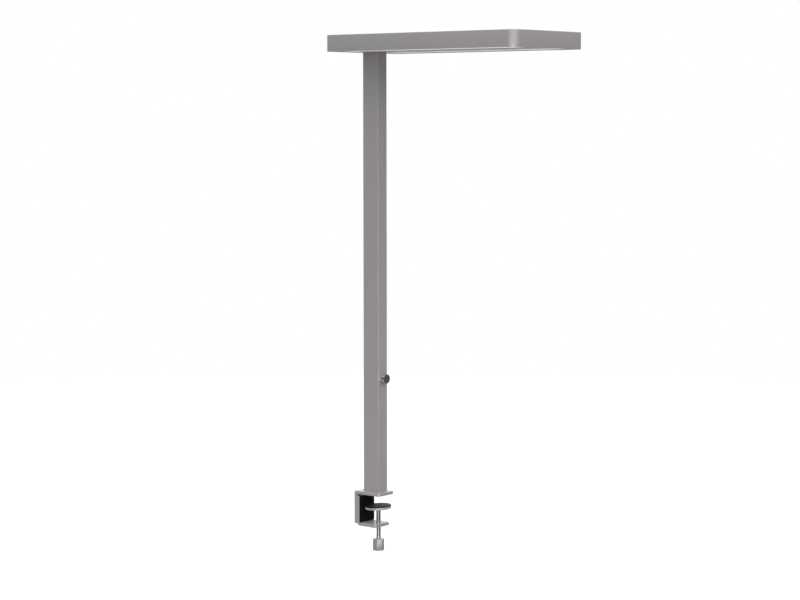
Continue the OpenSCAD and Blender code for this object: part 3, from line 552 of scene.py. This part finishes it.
class LUMINAIRE_OT_soften_edges(Operator):
    """Rounds the sharp edges of the carried-over nodes that show, with modifiers"""

    bl_idname = "luminaire.soften_edges"
    bl_label = "Soften edges"

    def execute(self, context):
        bracket = context.scene.luminaire_clamp.edge_rounding
        widths = {
            "upper_bracket": bracket, "lower_bracket": bracket, "back_pad": 0.0002, "head_spine": 0.0003,
            "top_cover": 0.0003, "column": 0.00025, "bracket_screws": 0.0003, "diffuser_near": 0.0002,
            "diffuser_far": 0.0002, "screw_bush": 0.0003, "terminal_block": 0.0003, "led_driver": 0.0005,
        }
        for name, width in widths.items():
            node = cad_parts[name]
            weld = node.modifiers.new("Weld", "WELD")
            weld.merge_threshold = 1e-6
            flat = node.modifiers.new("Flat faces", "DECIMATE")
            flat.decimate_type = "DISSOLVE"
            flat.angle_limit = math.radians(0.5)
            edge = node.modifiers.new("Edges", "BEVEL")
            edge.width = width
            edge.segments = 3
            edge.limit_method = "ANGLE"
            edge.angle_limit = math.radians(40)
            edge.harden_normals = True
        return {"FINISHED"}


class LUMINAIRE_OT_head_frame(Operator):
    """The head's frame: one profile carried round a rounded rectangle"""

    bl_idname = "luminaire.head_frame"
    bl_label = "Head frame"

    def execute(self, context):
        s = context.scene.luminaire_head
        height = HEAD_HIGH[2] - HEAD_LOW[2]
        e, w, tip = s.edge_radius, s.wall, s.rim_width - 0.003
        shelf, tray, cover = 0.0015, 0.022, height - 0.0019
        # (inset from the outer face, height, own rounding), once round the cross-section
        profile = rounded_profile([
            (0, 0, e), (0, height, e), (w, height, 0.0003), (w, cover, 0),
            (tip, cover, 0.0002), (tip, cover - shelf, 0.0002), (w, cover - shelf, 0),
            (w, tray, 0), (tip, tray, 0.0002), (tip, tray - shelf, 0.0002), (w, tray - shelf, 0),
            (w, s.rim_depth, 0), (s.rim_width, s.rim_depth, 0.0003), (s.rim_width, 0, 0.0003)])
        points, quads = around_head(profile, s.corner_radius, s.corner_steps)
        put_mesh("head_frame_profile", points, quads, "luminaire", ["head_frame"], "coat")
        return {"FINISHED"}


def around_head(profile, radius, steps):
    """Carries a profile of (inset, height) points round the head. Each station has a corner
    centre c and an outward direction n, and P = c + (R - inset) n + height, so the profile
    keeps its size on the straights and in the corners."""
    turn = np.linspace(0, math.pi / 2, steps)
    angles = np.concatenate([turn + k * math.pi / 2 for k in range(4)])
    x0, x1 = HEAD_LOW[0] + radius, HEAD_HIGH[0] - radius
    y0, y1 = HEAD_LOW[1] + radius, HEAD_HIGH[1] - radius
    centres = np.repeat([[x1, y1], [x0, y1], [x0, y0], [x1, y0]], steps, axis=0)
    out = np.stack([np.cos(angles), np.sin(angles)], axis=1)
    flat = centres[:, None, :] + (radius - profile[None, :, 0, None]) * out[:, None, :]
    z = np.broadcast_to(HEAD_LOW[2] + profile[None, :, 1], flat.shape[:2])
    points = np.concatenate([flat, z[:, :, None]], axis=2)
    return points, grid_quads(len(angles), len(profile), wrap_rows=True, wrap_columns=True)


# A lens: its corner radius, and the flat margin round its prisms
LENS_CORNER, LENS_MARGIN = 0.014, 0.0042


class LUMINAIRE_OT_uplight_lenses(Operator):
    """The two clear lenses of the top cover, with their field of prisms"""

    bl_idname = "luminaire.uplight_lenses"
    bl_label = "Uplight lenses"

    def execute(self, context):
        s = context.scene.luminaire_head
        for name in ("uplight_lens_near", "uplight_lens_far"):
            low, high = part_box(name)
            points, quads = prism_sheet(low, high, LENS_CORNER, LENS_MARGIN, s.prism_pitch, s.prism_depth)
            put_mesh(name + "_prisms", points, quads, "luminaire", [name], "lens", crease=12)
        return {"FINISHED"}


def prism_sheet(low, high, corner, margin, pitch, depth):
    """A sheet whose top carries small four-sided prisms: on a grid of half pitches, points with
    both numbers odd stand at the full height and the rest lie lower by the depth, inside a flat
    margin. Points outside the rounded corners are drawn in to the corner's arc."""
    def line(a, b):
        count = 2 * int((b - a - 2 * margin) / pitch)
        inner = np.linspace(a + margin, b - margin, count + 1)
        return np.concatenate([[a], [a + margin * 0.9], inner, [b - margin * 0.9], [b]]), count

    xs, nx = line(low[0], high[0])
    ys, ny = line(low[1], high[1])
    x, y = np.meshgrid(xs, ys, indexing="ij")
    i, j = np.meshgrid(np.arange(len(xs)) - 2, np.arange(len(ys)) - 2, indexing="ij")
    field = (i > 0) & (i < nx) & (j > 0) & (j < ny)
    peak = (i % 2 == 1) & (j % 2 == 1)
    top = high[2] - np.where(field & ~peak, depth, 0.0)
    cx = np.clip(x, low[0] + corner, high[0] - corner)
    cy = np.clip(y, low[1] + corner, high[1] - corner)
    far = np.hypot(x - cx, y - cy)
    pull = np.where(far > corner, corner / np.maximum(far, 1e-9), 1.0)
    x, y = cx + (x - cx) * pull, cy + (y - cy) * pull
    upper = np.stack([x, y, top], axis=-1)
    rows, columns = x.shape
    quads = [grid_quads(rows, columns)]
    ring = np.concatenate([
        np.arange(columns), np.arange(1, rows) * columns + columns - 1,
        (rows - 1) * columns + np.arange(columns - 2, -1, -1), np.arange(rows - 2, 0, -1) * columns])
    base = upper.reshape(-1, 3)[ring].copy()
    base[:, 2] = low[2]
    first = rows * columns
    k = np.arange(len(ring))
    quads.append(np.stack([ring, np.roll(ring, -1), first + np.roll(k, -1), first + k], axis=1))
    centre = np.array([[(low[0] + high[0]) / 2, (low[1] + high[1]) / 2, low[2]]])
    hub = first + len(ring)
    tip = np.full_like(k, hub)
    quads.append(np.stack([first + k, first + np.roll(k, -1), tip, tip], axis=1))
    points = np.concatenate([upper.reshape(-1, 3), base, centre])
    return points, np.concatenate(quads)


# The pocket behind the knob, and the dish and flat rim of its cap
KNOB_POCKET_RADIUS, KNOB_POCKET_DEPTH = 0.0089, 0.0032
CAP_RIM, CAP_DISH = 0.0012, 0.0002


class LUMINAIRE_OT_knob(Operator):
    """The dimmer's turned knob, with its pocket over the bushing's nut"""

    bl_idname = "luminaire.knob"
    bl_label = "Dimmer knob"

    def execute(self, context):
        s = context.scene.luminaire_dimmer
        r = s.knob_diameter / 2
        back, front = KNOB_LOW[0], KNOB_HIGH[0]
        pocket_r, pocket_x = KNOB_POCKET_RADIUS, back + KNOB_POCKET_DEPTH
        profile = rounded_profile([
            (0, pocket_x, 0), (pocket_r, pocket_x, 0.0002), (pocket_r, back, 0.0003), (r, back, s.knob_edge),
            (r, front, 0.00012), (0, front, 0)])
        points, quads = revolve(profile, KNOB_SIDES, FORWARD, (0, 0, (KNOB_LOW[2] + KNOB_HIGH[2]) / 2))
        put_mesh("dimmer_knob_turned", points, quads, "knob", ["dimmer_knob"], "knob_metal")
        return {"FINISHED"}


class LUMINAIRE_OT_knob_cap(Operator):
    """The knob's dark cap: a shallow dish with a rounded rim"""

    bl_idname = "luminaire.knob_cap"
    bl_label = "Knob cap"

    def execute(self, context):
        s = context.scene.luminaire_dimmer
        r = s.knob_diameter / 2
        back, front = KNOB_HIGH[0], CAP_HIGH[0]
        # The dish is deepest in the middle, and its depth falls with the square of the radius
        flat = r - CAP_RIM
        dish = np.linspace(0, 1, 12)
        face = np.stack([dish * flat, front - CAP_DISH * (1 - dish ** 2)], axis=1)
        edge = rounded_profile([
            (flat, front, 0), (r, front, s.cap_edge), (r, back, 0.0001), (0, back, 0)])
        points, quads = revolve(np.concatenate([face, edge[1:]]), KNOB_SIDES, FORWARD,
                                (0, 0, (CAP_LOW[2] + CAP_HIGH[2]) / 2))
        put_mesh("dimmer_cap_dished", points, quads, "knob", ["dimmer_face"], "cap")
        return {"FINISHED"}


# Plain length that the thread leaves below the shoulder and above the grip
THREAD_RUNOUT = 0.0025


class LUMINAIRE_OT_clamp_screw(Operator):
    """The clamp screw: a helical trapezoid thread between a plain neck and the grip"""

    bl_idname = "luminaire.clamp_screw"
    bl_label = "Clamp screw"

    def execute(self, context):
        s = context.scene.luminaire_clamp
        r, low, high = s.screw_diameter / 2, SCREW_LOW[2], WASHER_LOW[2]
        axis_x = (SCREW_LOW[0] + SCREW_HIGH[0]) / 2
        points, quads = threaded_rod(r, low, high, GRIP_HIGH[2] + THREAD_RUNOUT, high - THREAD_RUNOUT,
                                     s.thread_pitch, s.thread_depth, axis_x)
        top, neck_r, bevel = SCREW_HIGH[2], 0.004, 0.0003
        neck = np.array([(r, high), (neck_r, high), (neck_r, top - bevel), (neck_r - bevel, top), (0, top)])
        spigot, spigot_quads = revolve(neck, SCREW_SIDES, UPRIGHT, (axis_x, 0, 0))
        foot, foot_quads = revolve(np.array([(0, low), (r, low)]), SCREW_SIDES, UPRIGHT, (axis_x, 0, 0))
        parts = [part.reshape(-1, 3) for part in (points, spigot, foot)]
        second, third = len(parts[0]), len(parts[0]) + len(parts[1])
        quads = np.concatenate([quads, spigot_quads + second, foot_quads + third])
        put_mesh("clamp_screw_threaded", np.concatenate(parts), quads, "screw", ["clamp_screw"], "polished",
                 crease=35)
        return {"FINISHED"}


def threaded_rod(radius, low, high, thread_low, thread_high, pitch, depth, axis_x):
    """A rod with a right-hand trapezoid thread. Rows follow the helix: a row at place p in turn m
    lies at z = start + pitch (m + p + t), where t runs from 0 to 1 as the angle 2 pi t goes once
    round, held between the rod's ends. The radius is R - depth g(p), where g is the groove's
    trapezoid, and the groove runs out to nothing over the last pitch at both ends."""
    groove = np.array([0, 0, 1, 1])
    place = np.array([0, 0.76, 0.82, 0.94])
    n = len(place)
    turns = int(math.ceil((high - low) / pitch)) + 2
    k = np.arange(turns * n)
    row = k // n + place[k % n]
    t = np.linspace(0, 1, SCREW_SIDES + 1)
    z = low - pitch + pitch * (row[:, None] + t[None, :])
    fade = np.clip(np.minimum(z - thread_low, thread_high - z) / pitch, 0, 1)
    z = np.clip(z, low, high)
    r = radius - depth * groove[k % n][:, None] * fade
    angle = 2 * math.pi * t[None, :]
    points = np.stack([axis_x + r * np.cos(angle), r * np.sin(angle), z], axis=-1)
    return points, grid_quads(len(row), len(t))


# The domed washer: its dome's radius, its upright edge, and the plate's gap over the dome
DOME_RADIUS, WASHER_EDGE, DOME_GAP = 0.012, 0.0009, 0.00005
# The plate: bore, pocket radius, height of the pocket's floor and of the underside, outer rounding
PLATE_BORE, PLATE_POCKET, PLATE_FLOOR, PLATE_RISE, PLATE_EDGE = 0.0052, 0.0088, 0.0032, 0.0014, 0.0016


class LUMINAIRE_OT_pressure_plate(Operator):
    """The round pressure plate, leaning on its domed washer"""

    bl_idname = "luminaire.pressure_plate"
    bl_label = "Pressure plate"

    def execute(self, context):
        s = context.scene.luminaire_clamp
        r, t = s.plate_diameter / 2, s.plate_thickness
        centre, under = plate_centre(), plate_under()
        bore, pocket, dome_r = PLATE_BORE, PLATE_POCKET, DOME_RADIUS + DOME_GAP
        # The seat follows the dome: radius sqrt(R^2 - h^2) from the bore up to the underside
        angle = np.linspace(math.asin(bore / dome_r), math.acos(min(1, under / dome_r)), 8)
        seat = np.stack([dome_r * np.sin(angle), dome_r * np.cos(angle)], axis=1)
        floor = under + PLATE_FLOOR
        body = rounded_profile([
            (seat[-1, 0] + 1e-5, under, 0), (r - 0.006, under, 0), (r, under + 0.0003, PLATE_EDGE),
            (r, under + t, PLATE_EDGE), (pocket, under + t, 0), (pocket, floor, 0), (bore, floor, 0)])
        profile = np.concatenate([seat, body, seat[:1]])
        points, quads = revolve(profile, PLATE_SIDES, leaning_axes(s), centre)
        put_mesh("pressure_plate_turned", points, quads, "plate", ["pressure_plate"], "turned")
        return {"FINISHED"}


def plate_centre():
    """The centre of the dome that the plate rocks on, from the washer's lower edge."""
    low, high = WASHER_LOW, WASHER_HIGH
    half = (high[0] - low[0]) / 2
    return ((low[0] + high[0]) / 2, 0, low[2] + WASHER_EDGE - math.sqrt(DOME_RADIUS ** 2 - half ** 2))


def plate_under():
    """Height of the plate's underside above the dome's centre, along the plate's axis."""
    return WASHER_LOW[2] - plate_centre()[2] + PLATE_RISE


# The pad: its flat rim, the number and depth of its grooves, and its plain middle
PAD_RIM, PAD_RINGS, PAD_GROOVE, PAD_MIDDLE = 0.002, 11, 0.00025, 0.003


class LUMINAIRE_OT_pressure_pad(Operator):
    """The ribbed rubber pad on the pressure plate"""

    bl_idname = "luminaire.pressure_pad"
    bl_label = "Pressure pad"

    def execute(self, context):
        s = context.scene.luminaire_clamp
        r, t = s.pad_diameter / 2, s.pad_thickness
        base = plate_under() + s.plate_thickness
        # Rings on the top: z falls by the groove's depth times 3 cos(2 pi n radius / flat) - 1.9,
        # held between 0 and 1, but not in the plain middle
        flat = r - PAD_RIM
        reach = np.linspace(0, flat, 210)
        wave = np.clip(np.cos(reach / flat * 2 * math.pi * PAD_RINGS) * 3 - 1.9, 0, 1)
        face = np.stack([reach, base + t - PAD_GROOVE * wave * (reach > PAD_MIDDLE)], axis=1)[::-1]
        edge = rounded_profile([
            (0, base, 0), (r, base, 0.0002), (r, base + t, 0.001), (flat, base + t, 0)])
        points, quads = revolve(np.concatenate([edge[:-1], face]), PLATE_SIDES, leaning_axes(s),
                                plate_centre())
        put_mesh("pressure_pad_ringed", points, quads, "plate", ["pressure_pad"], "pad")
        return {"FINISHED"}


# The grip: rounding of its six corners, and its blind hole's radius and depth
GRIP_EDGE, GRIP_HOLE, GRIP_HOLE_DEPTH = 0.0004, 0.00605, 0.0241


class LUMINAIRE_OT_grip(Operator):
    """The six-sided grip, with its corners cut back at both ends"""

    bl_idname = "luminaire.grip"
    bl_label = "Grip"

    def execute(self, context):
        s = context.scene.luminaire_clamp
        low, high = GRIP_LOW, GRIP_HIGH
        reach = s.grip_flats / math.sqrt(3)
        corner = np.radians(np.arange(6) * 60 + 30) + s.grip_turn
        outline = rounded_profile([(math.cos(a) * reach, math.sin(a) * reach) for a in corner], GRIP_EDGE)
        points, quads = cut_bar(outline, reach, s.grip_cut, low[2], high[2], GRIP_HOLE, GRIP_HOLE_DEPTH,
                                (low[0] + high[0]) / 2)
        put_mesh("screw_grip_six_sided", points, quads, "screw", ["screw_grip"], "grip")
        return {"FINISHED"}


def cut_bar(outline, reach, cut, low, high, hole, deep, axis_x):
    """A bar of the given outline between two heights. Near each end a cone of radius
    reach - 2 (cut - distance from the end) trims the outline: a point beyond the cone is
    drawn in along its radius. A blind hole enters from the top."""
    steps = np.linspace(0, cut, 5)
    z = np.concatenate([low + steps, high - steps[::-1]])
    cone = reach - 2 * np.clip(cut - np.minimum(z - low, high - z), 0, None)
    radius = np.hypot(outline[:, 0], outline[:, 1])
    turn = outline / radius[:, None]
    wall = np.minimum(radius[None, :], cone[:, None])
    rows = [np.zeros(len(outline)), *wall, *(np.full(len(outline), hole),) * 2, np.zeros(len(outline))]
    heights = np.concatenate([[low], z, [high, high - deep, high - deep]])
    rows = np.stack(rows)
    points = np.stack([axis_x + rows * turn[:, 0], rows * turn[:, 1],
                       np.broadcast_to(heights[:, None], rows.shape)], axis=-1)
    return points, grid_quads(len(rows), len(outline), wrap_columns=True)


# The sky fades in by SKY_RISE times the height over the horizon, the mirrored one from
# MIRRORED_FROM up, and all of it gives up OVERHEAD_COST of the overhead share
SKY_RISE, MIRRORED_FROM, OVERHEAD_COST = 8.0, 0.06, 0.25
# The floor's glow as it is seen straight, in reflections and by diffuse faces
FLOOR_SEEN, FLOOR_MIRRORED, FLOOR_LIGHT = 0.85, 0.15, 0.44
# The soft lamp's place, and the point that it faces
LAMP_PLACE, LAMP_AIM = (7.5, -3.6, 3.6), (0.2, 0, 0.7)


def seen_straight(tree, path):
    """1 for rays that see a surface itself, from the camera or through a clear lens."""
    return math_node(tree, "MAXIMUM", path["Is Camera Ray"], path["Is Transmission Ray"])


class LUMINAIRE_OT_stage(Operator):
    """Floor, reflected panels, lamp, world and camera"""

    bl_idname = "luminaire.stage"
    bl_label = "Studio"

    def execute(self, context):
        s = context.scene.luminaire_studio
        context.scene.view_settings.view_transform = "Standard"
        self.world(context, s)
        self.floor(s)
        self.panels()
        lamp = bpy.data.lights.new("soft_lamp", "AREA")
        lamp.shape, lamp.size, lamp.size_y, lamp.energy = "RECTANGLE", 4.0, 3.0, s.lamp_power
        holder = new_object("soft_lamp", lamp)
        holder.location = LAMP_PLACE
        holder.visible_glossy = False
        holder.rotation_euler = (Vector(LAMP_AIM) - holder.location).to_track_quat("-Z", "Y").to_euler()
        self.camera(context, s)
        return {"FINISHED"}

    def world(self, context, s):
        """A sky that grows brighter overhead. Glossy rays meet an even one, and the camera sees
        plain white."""
        world = bpy.data.worlds.new("studio")
        world.use_nodes = True
        context.scene.world = world
        tree = world.node_tree
        back = tree.nodes["Background"]
        place = tree.nodes.new("ShaderNodeTexCoord")
        split = tree.nodes.new("ShaderNodeSeparateXYZ")
        tree.links.new(place.outputs["Generated"], split.inputs[0])
        height = split.outputs["Z"]
        above = math_node(tree, "MULTIPLY", height, SKY_RISE, clamp=True)
        square = math_node(tree, "POWER", height, 2.0)
        peak = math_node(tree, "MULTIPLY", square, s.overhead)
        peak = math_node(tree, "ADD", peak, 1.0 - OVERHEAD_COST * s.overhead)
        dome = math_node(tree, "SUBTRACT", math_node(tree, "MULTIPLY", peak, s.sky), s.ground)
        light = math_node(tree, "ADD", math_node(tree, "MULTIPLY", above, dome), s.ground)
        path = tree.nodes.new("ShaderNodeLightPath").outputs
        straight = seen_straight(tree, path)
        raised = math_node(tree, "SUBTRACT", height, MIRRORED_FROM)
        raised = math_node(tree, "MULTIPLY", raised, SKY_RISE, clamp=True)
        mirrored = math_node(tree, "ADD", math_node(tree, "MULTIPLY", raised, s.mirrored_sky - 1.0), 1.0)
        strength = mix(tree, MIX_NUMBERS, path["Is Glossy Ray"], light, mirrored)
        strength = mix(tree, MIX_NUMBERS, straight, strength, 1.0)
        set_inputs(tree, back, Strength=strength, Color=(1, 1, 1))

    def floor(self, s):
        """A flat disc: ring k of n has the radius reach (k / n)^2. Its glow differs by what sees
        it: the camera, reflections or diffuse faces."""
        reach, count, sides = 9.0, 6, 64
        turn = np.linspace(0, 2 * math.pi, sides, endpoint=False)
        radius = reach * (np.arange(1, count + 1) / count) ** 2
        rings = np.stack([radius[:, None] * np.cos(turn), radius[:, None] * np.sin(turn),
                          np.full((count, sides), -s.floor_drop)], axis=-1)
        mesh = bpy.data.meshes.new("floor")
        k = np.arange(sides)
        inner = np.stack([k, np.roll(k, -1), np.full(sides, count * sides)], axis=1)
        mesh.from_pydata(rings.reshape(-1, 3).tolist() + [(0, 0, -s.floor_drop)], [],
                         grid_quads(count, sides, wrap_columns=True)[:, ::-1].tolist() + inner.tolist())
        made, tree, shader, _ = start_material("pale_floor", specular=0.0)
        path = tree.nodes.new("ShaderNodeLightPath").outputs
        straight = seen_straight(tree, path)
        glow = math_node(tree, "ADD", math_node(tree, "MULTIPLY", straight, FLOOR_SEEN),
                         math_node(tree, "MULTIPLY", path["Is Glossy Ray"], FLOOR_MIRRORED))
        light = math_node(tree, "MULTIPLY", path["Is Diffuse Ray"], FLOOR_LIGHT)
        glow = math_node(tree, "ADD", glow, light)
        set_inputs(tree, shader, Roughness=0.9, Base_Color=(0.12, 0.12, 0.12), Emission_Color=(1, 1, 1),
                   Emission_Strength=glow)
        mesh.materials.append(made)
        floor = new_object("floor", mesh)

    def panels(self):
        """Upright curved panels that only reflections see: dark ones at the sides, pale ones in
        front and low at the back. Azimuths in degrees are counted from the camera's."""
        stations = 24
        # name, first and last azimuth, distance, lowest and highest edge, brightness
        for name, first, last, away, low, high, tone in (
                ("left_panel", -128, -42, 3.2, -0.7, 3.2, 0.17),
                ("right_panel", 52, 160, 3.2, -0.7, 3.2, 0.16),
                ("front_strip", -24, 24, 3.4, -0.45, 0.35, 5.0),
                ("middle_front_strip", -24, 24, 3.4, 0.35, 0.95, 2.5),
                ("high_front_strip", -30, 30, 3.4, 0.95, 2.4, 0.2),
                ("near_front_strip", -22, 22, 2.0, -0.31, 0.1, 5.0),
                ("low_left_panel", -68, -13, 1.2, -0.73, -0.265, 0.03),
                ("low_right_panel", 39, 165, 1.2, -0.73, -0.265, 0.03),
                ("low_front_panel", -13, 38, 1.2, -0.45, -0.3, 1.25),
                ("low_back_panel", 165, 288, 1.2, -0.355, -0.25, 1.0)):
            made, tree, shader, _ = start_material(name, specular=0)
            set_inputs(tree, shader, Base_Color=(0, 0, 0), Emission_Color=(1, 1, 1), Emission_Strength=tone)
            a = np.radians(np.linspace(first, last, stations) + CAMERA_AZIMUTH)
            foot = np.stack([away * np.sin(a), -away * np.cos(a)], axis=1)
            points = np.concatenate([np.column_stack([foot, np.full(stations, z)]) for z in (low, high)])
            mesh = bpy.data.meshes.new(name)
            mesh.from_pydata(points.tolist(), [], grid_quads(2, stations).tolist())
            mesh.materials.append(made)
            panel = new_object(name, mesh)
            for kind in ("camera", "diffuse", "shadow", "transmission", "volume_scatter"):
                setattr(panel, "visible_" + kind, False)

    def camera(self, context, s):
        """The photograph's camera: it looks down by the pitch, from the azimuth's side."""
        az, pitch, roll = (math.radians(v) for v in (CAMERA_AZIMUTH, CAMERA_PITCH, CAMERA_ROLL))
        back = Vector((math.sin(az) * math.cos(pitch), -math.cos(az) * math.cos(pitch), math.sin(pitch)))
        right = Vector((math.cos(az), math.sin(az), 0))
        up = back.cross(right)
        right, up = (math.cos(roll) * right + math.sin(roll) * up,
                     -math.sin(roll) * right + math.cos(roll) * up)
        data = bpy.data.cameras.new("photo_camera")
        data.lens, data.sensor_width = s.lens_length, 36
        data.clip_end = 60
        camera = new_object("photo_camera", data)
        turn = Matrix((right, up, back)).transposed().to_4x4()
        camera.matrix_world = Matrix.Translation(CAMERA_PLACE) @ turn
        context.scene.camera = camera


# ------------------------------------------------------------------ panel and registration

OPERATORS = (
    LUMINAIRE_OT_finishes,
    LUMINAIRE_OT_soften_edges,
    LUMINAIRE_OT_head_frame,
    LUMINAIRE_OT_uplight_lenses,
    LUMINAIRE_OT_knob,
    LUMINAIRE_OT_knob_cap,
    LUMINAIRE_OT_clamp_screw,
    LUMINAIRE_OT_pressure_plate,
    LUMINAIRE_OT_pressure_pad,
    LUMINAIRE_OT_grip,
    LUMINAIRE_OT_stage,
)
SETTINGS = {
    "luminaire_head": HeadSizes,
    "luminaire_dimmer": DimmerSizes,
    "luminaire_clamp": ClampSizes,
    "luminaire_colours": FinishColours,
    "luminaire_studio": StudioSettings,
}


class LUMINAIRE_PT_panel(Panel):
    """Lists the luminaire's pieces and settings"""

    bl_idname = "LUMINAIRE_PT_panel"
    bl_label = "Luminaire"
    bl_space_type = "VIEW_3D"
    bl_region_type = "UI"
    bl_category = "Luminaire"

    def draw(self, context):
        for operator in OPERATORS:
            self.layout.operator(operator.bl_idname)
        for name, group in SETTINGS.items():
            box = self.layout.box()
            box.label(text=group.__doc__)
            for key in group.__annotations__:
                box.prop(getattr(context.scene, name), key)


def register():
    for made in (*SETTINGS.values(), *OPERATORS, LUMINAIRE_PT_panel):
        bpy.utils.register_class(made)
    for name, group in SETTINGS.items():
        setattr(bpy.types.Scene, name, PointerProperty(type=group))


def unregister():
    for name in SETTINGS:
        delattr(bpy.types.Scene, name)
    for made in (LUMINAIRE_PT_panel, *reversed(OPERATORS), *reversed(SETTINGS.values())):
        bpy.utils.unregister_class(made)


def main():
    register()
    for operator in OPERATORS:
        group, name = operator.bl_idname.split(".")
        getattr(getattr(bpy.ops, group), name)()


if __name__ == "__main__":
    main()
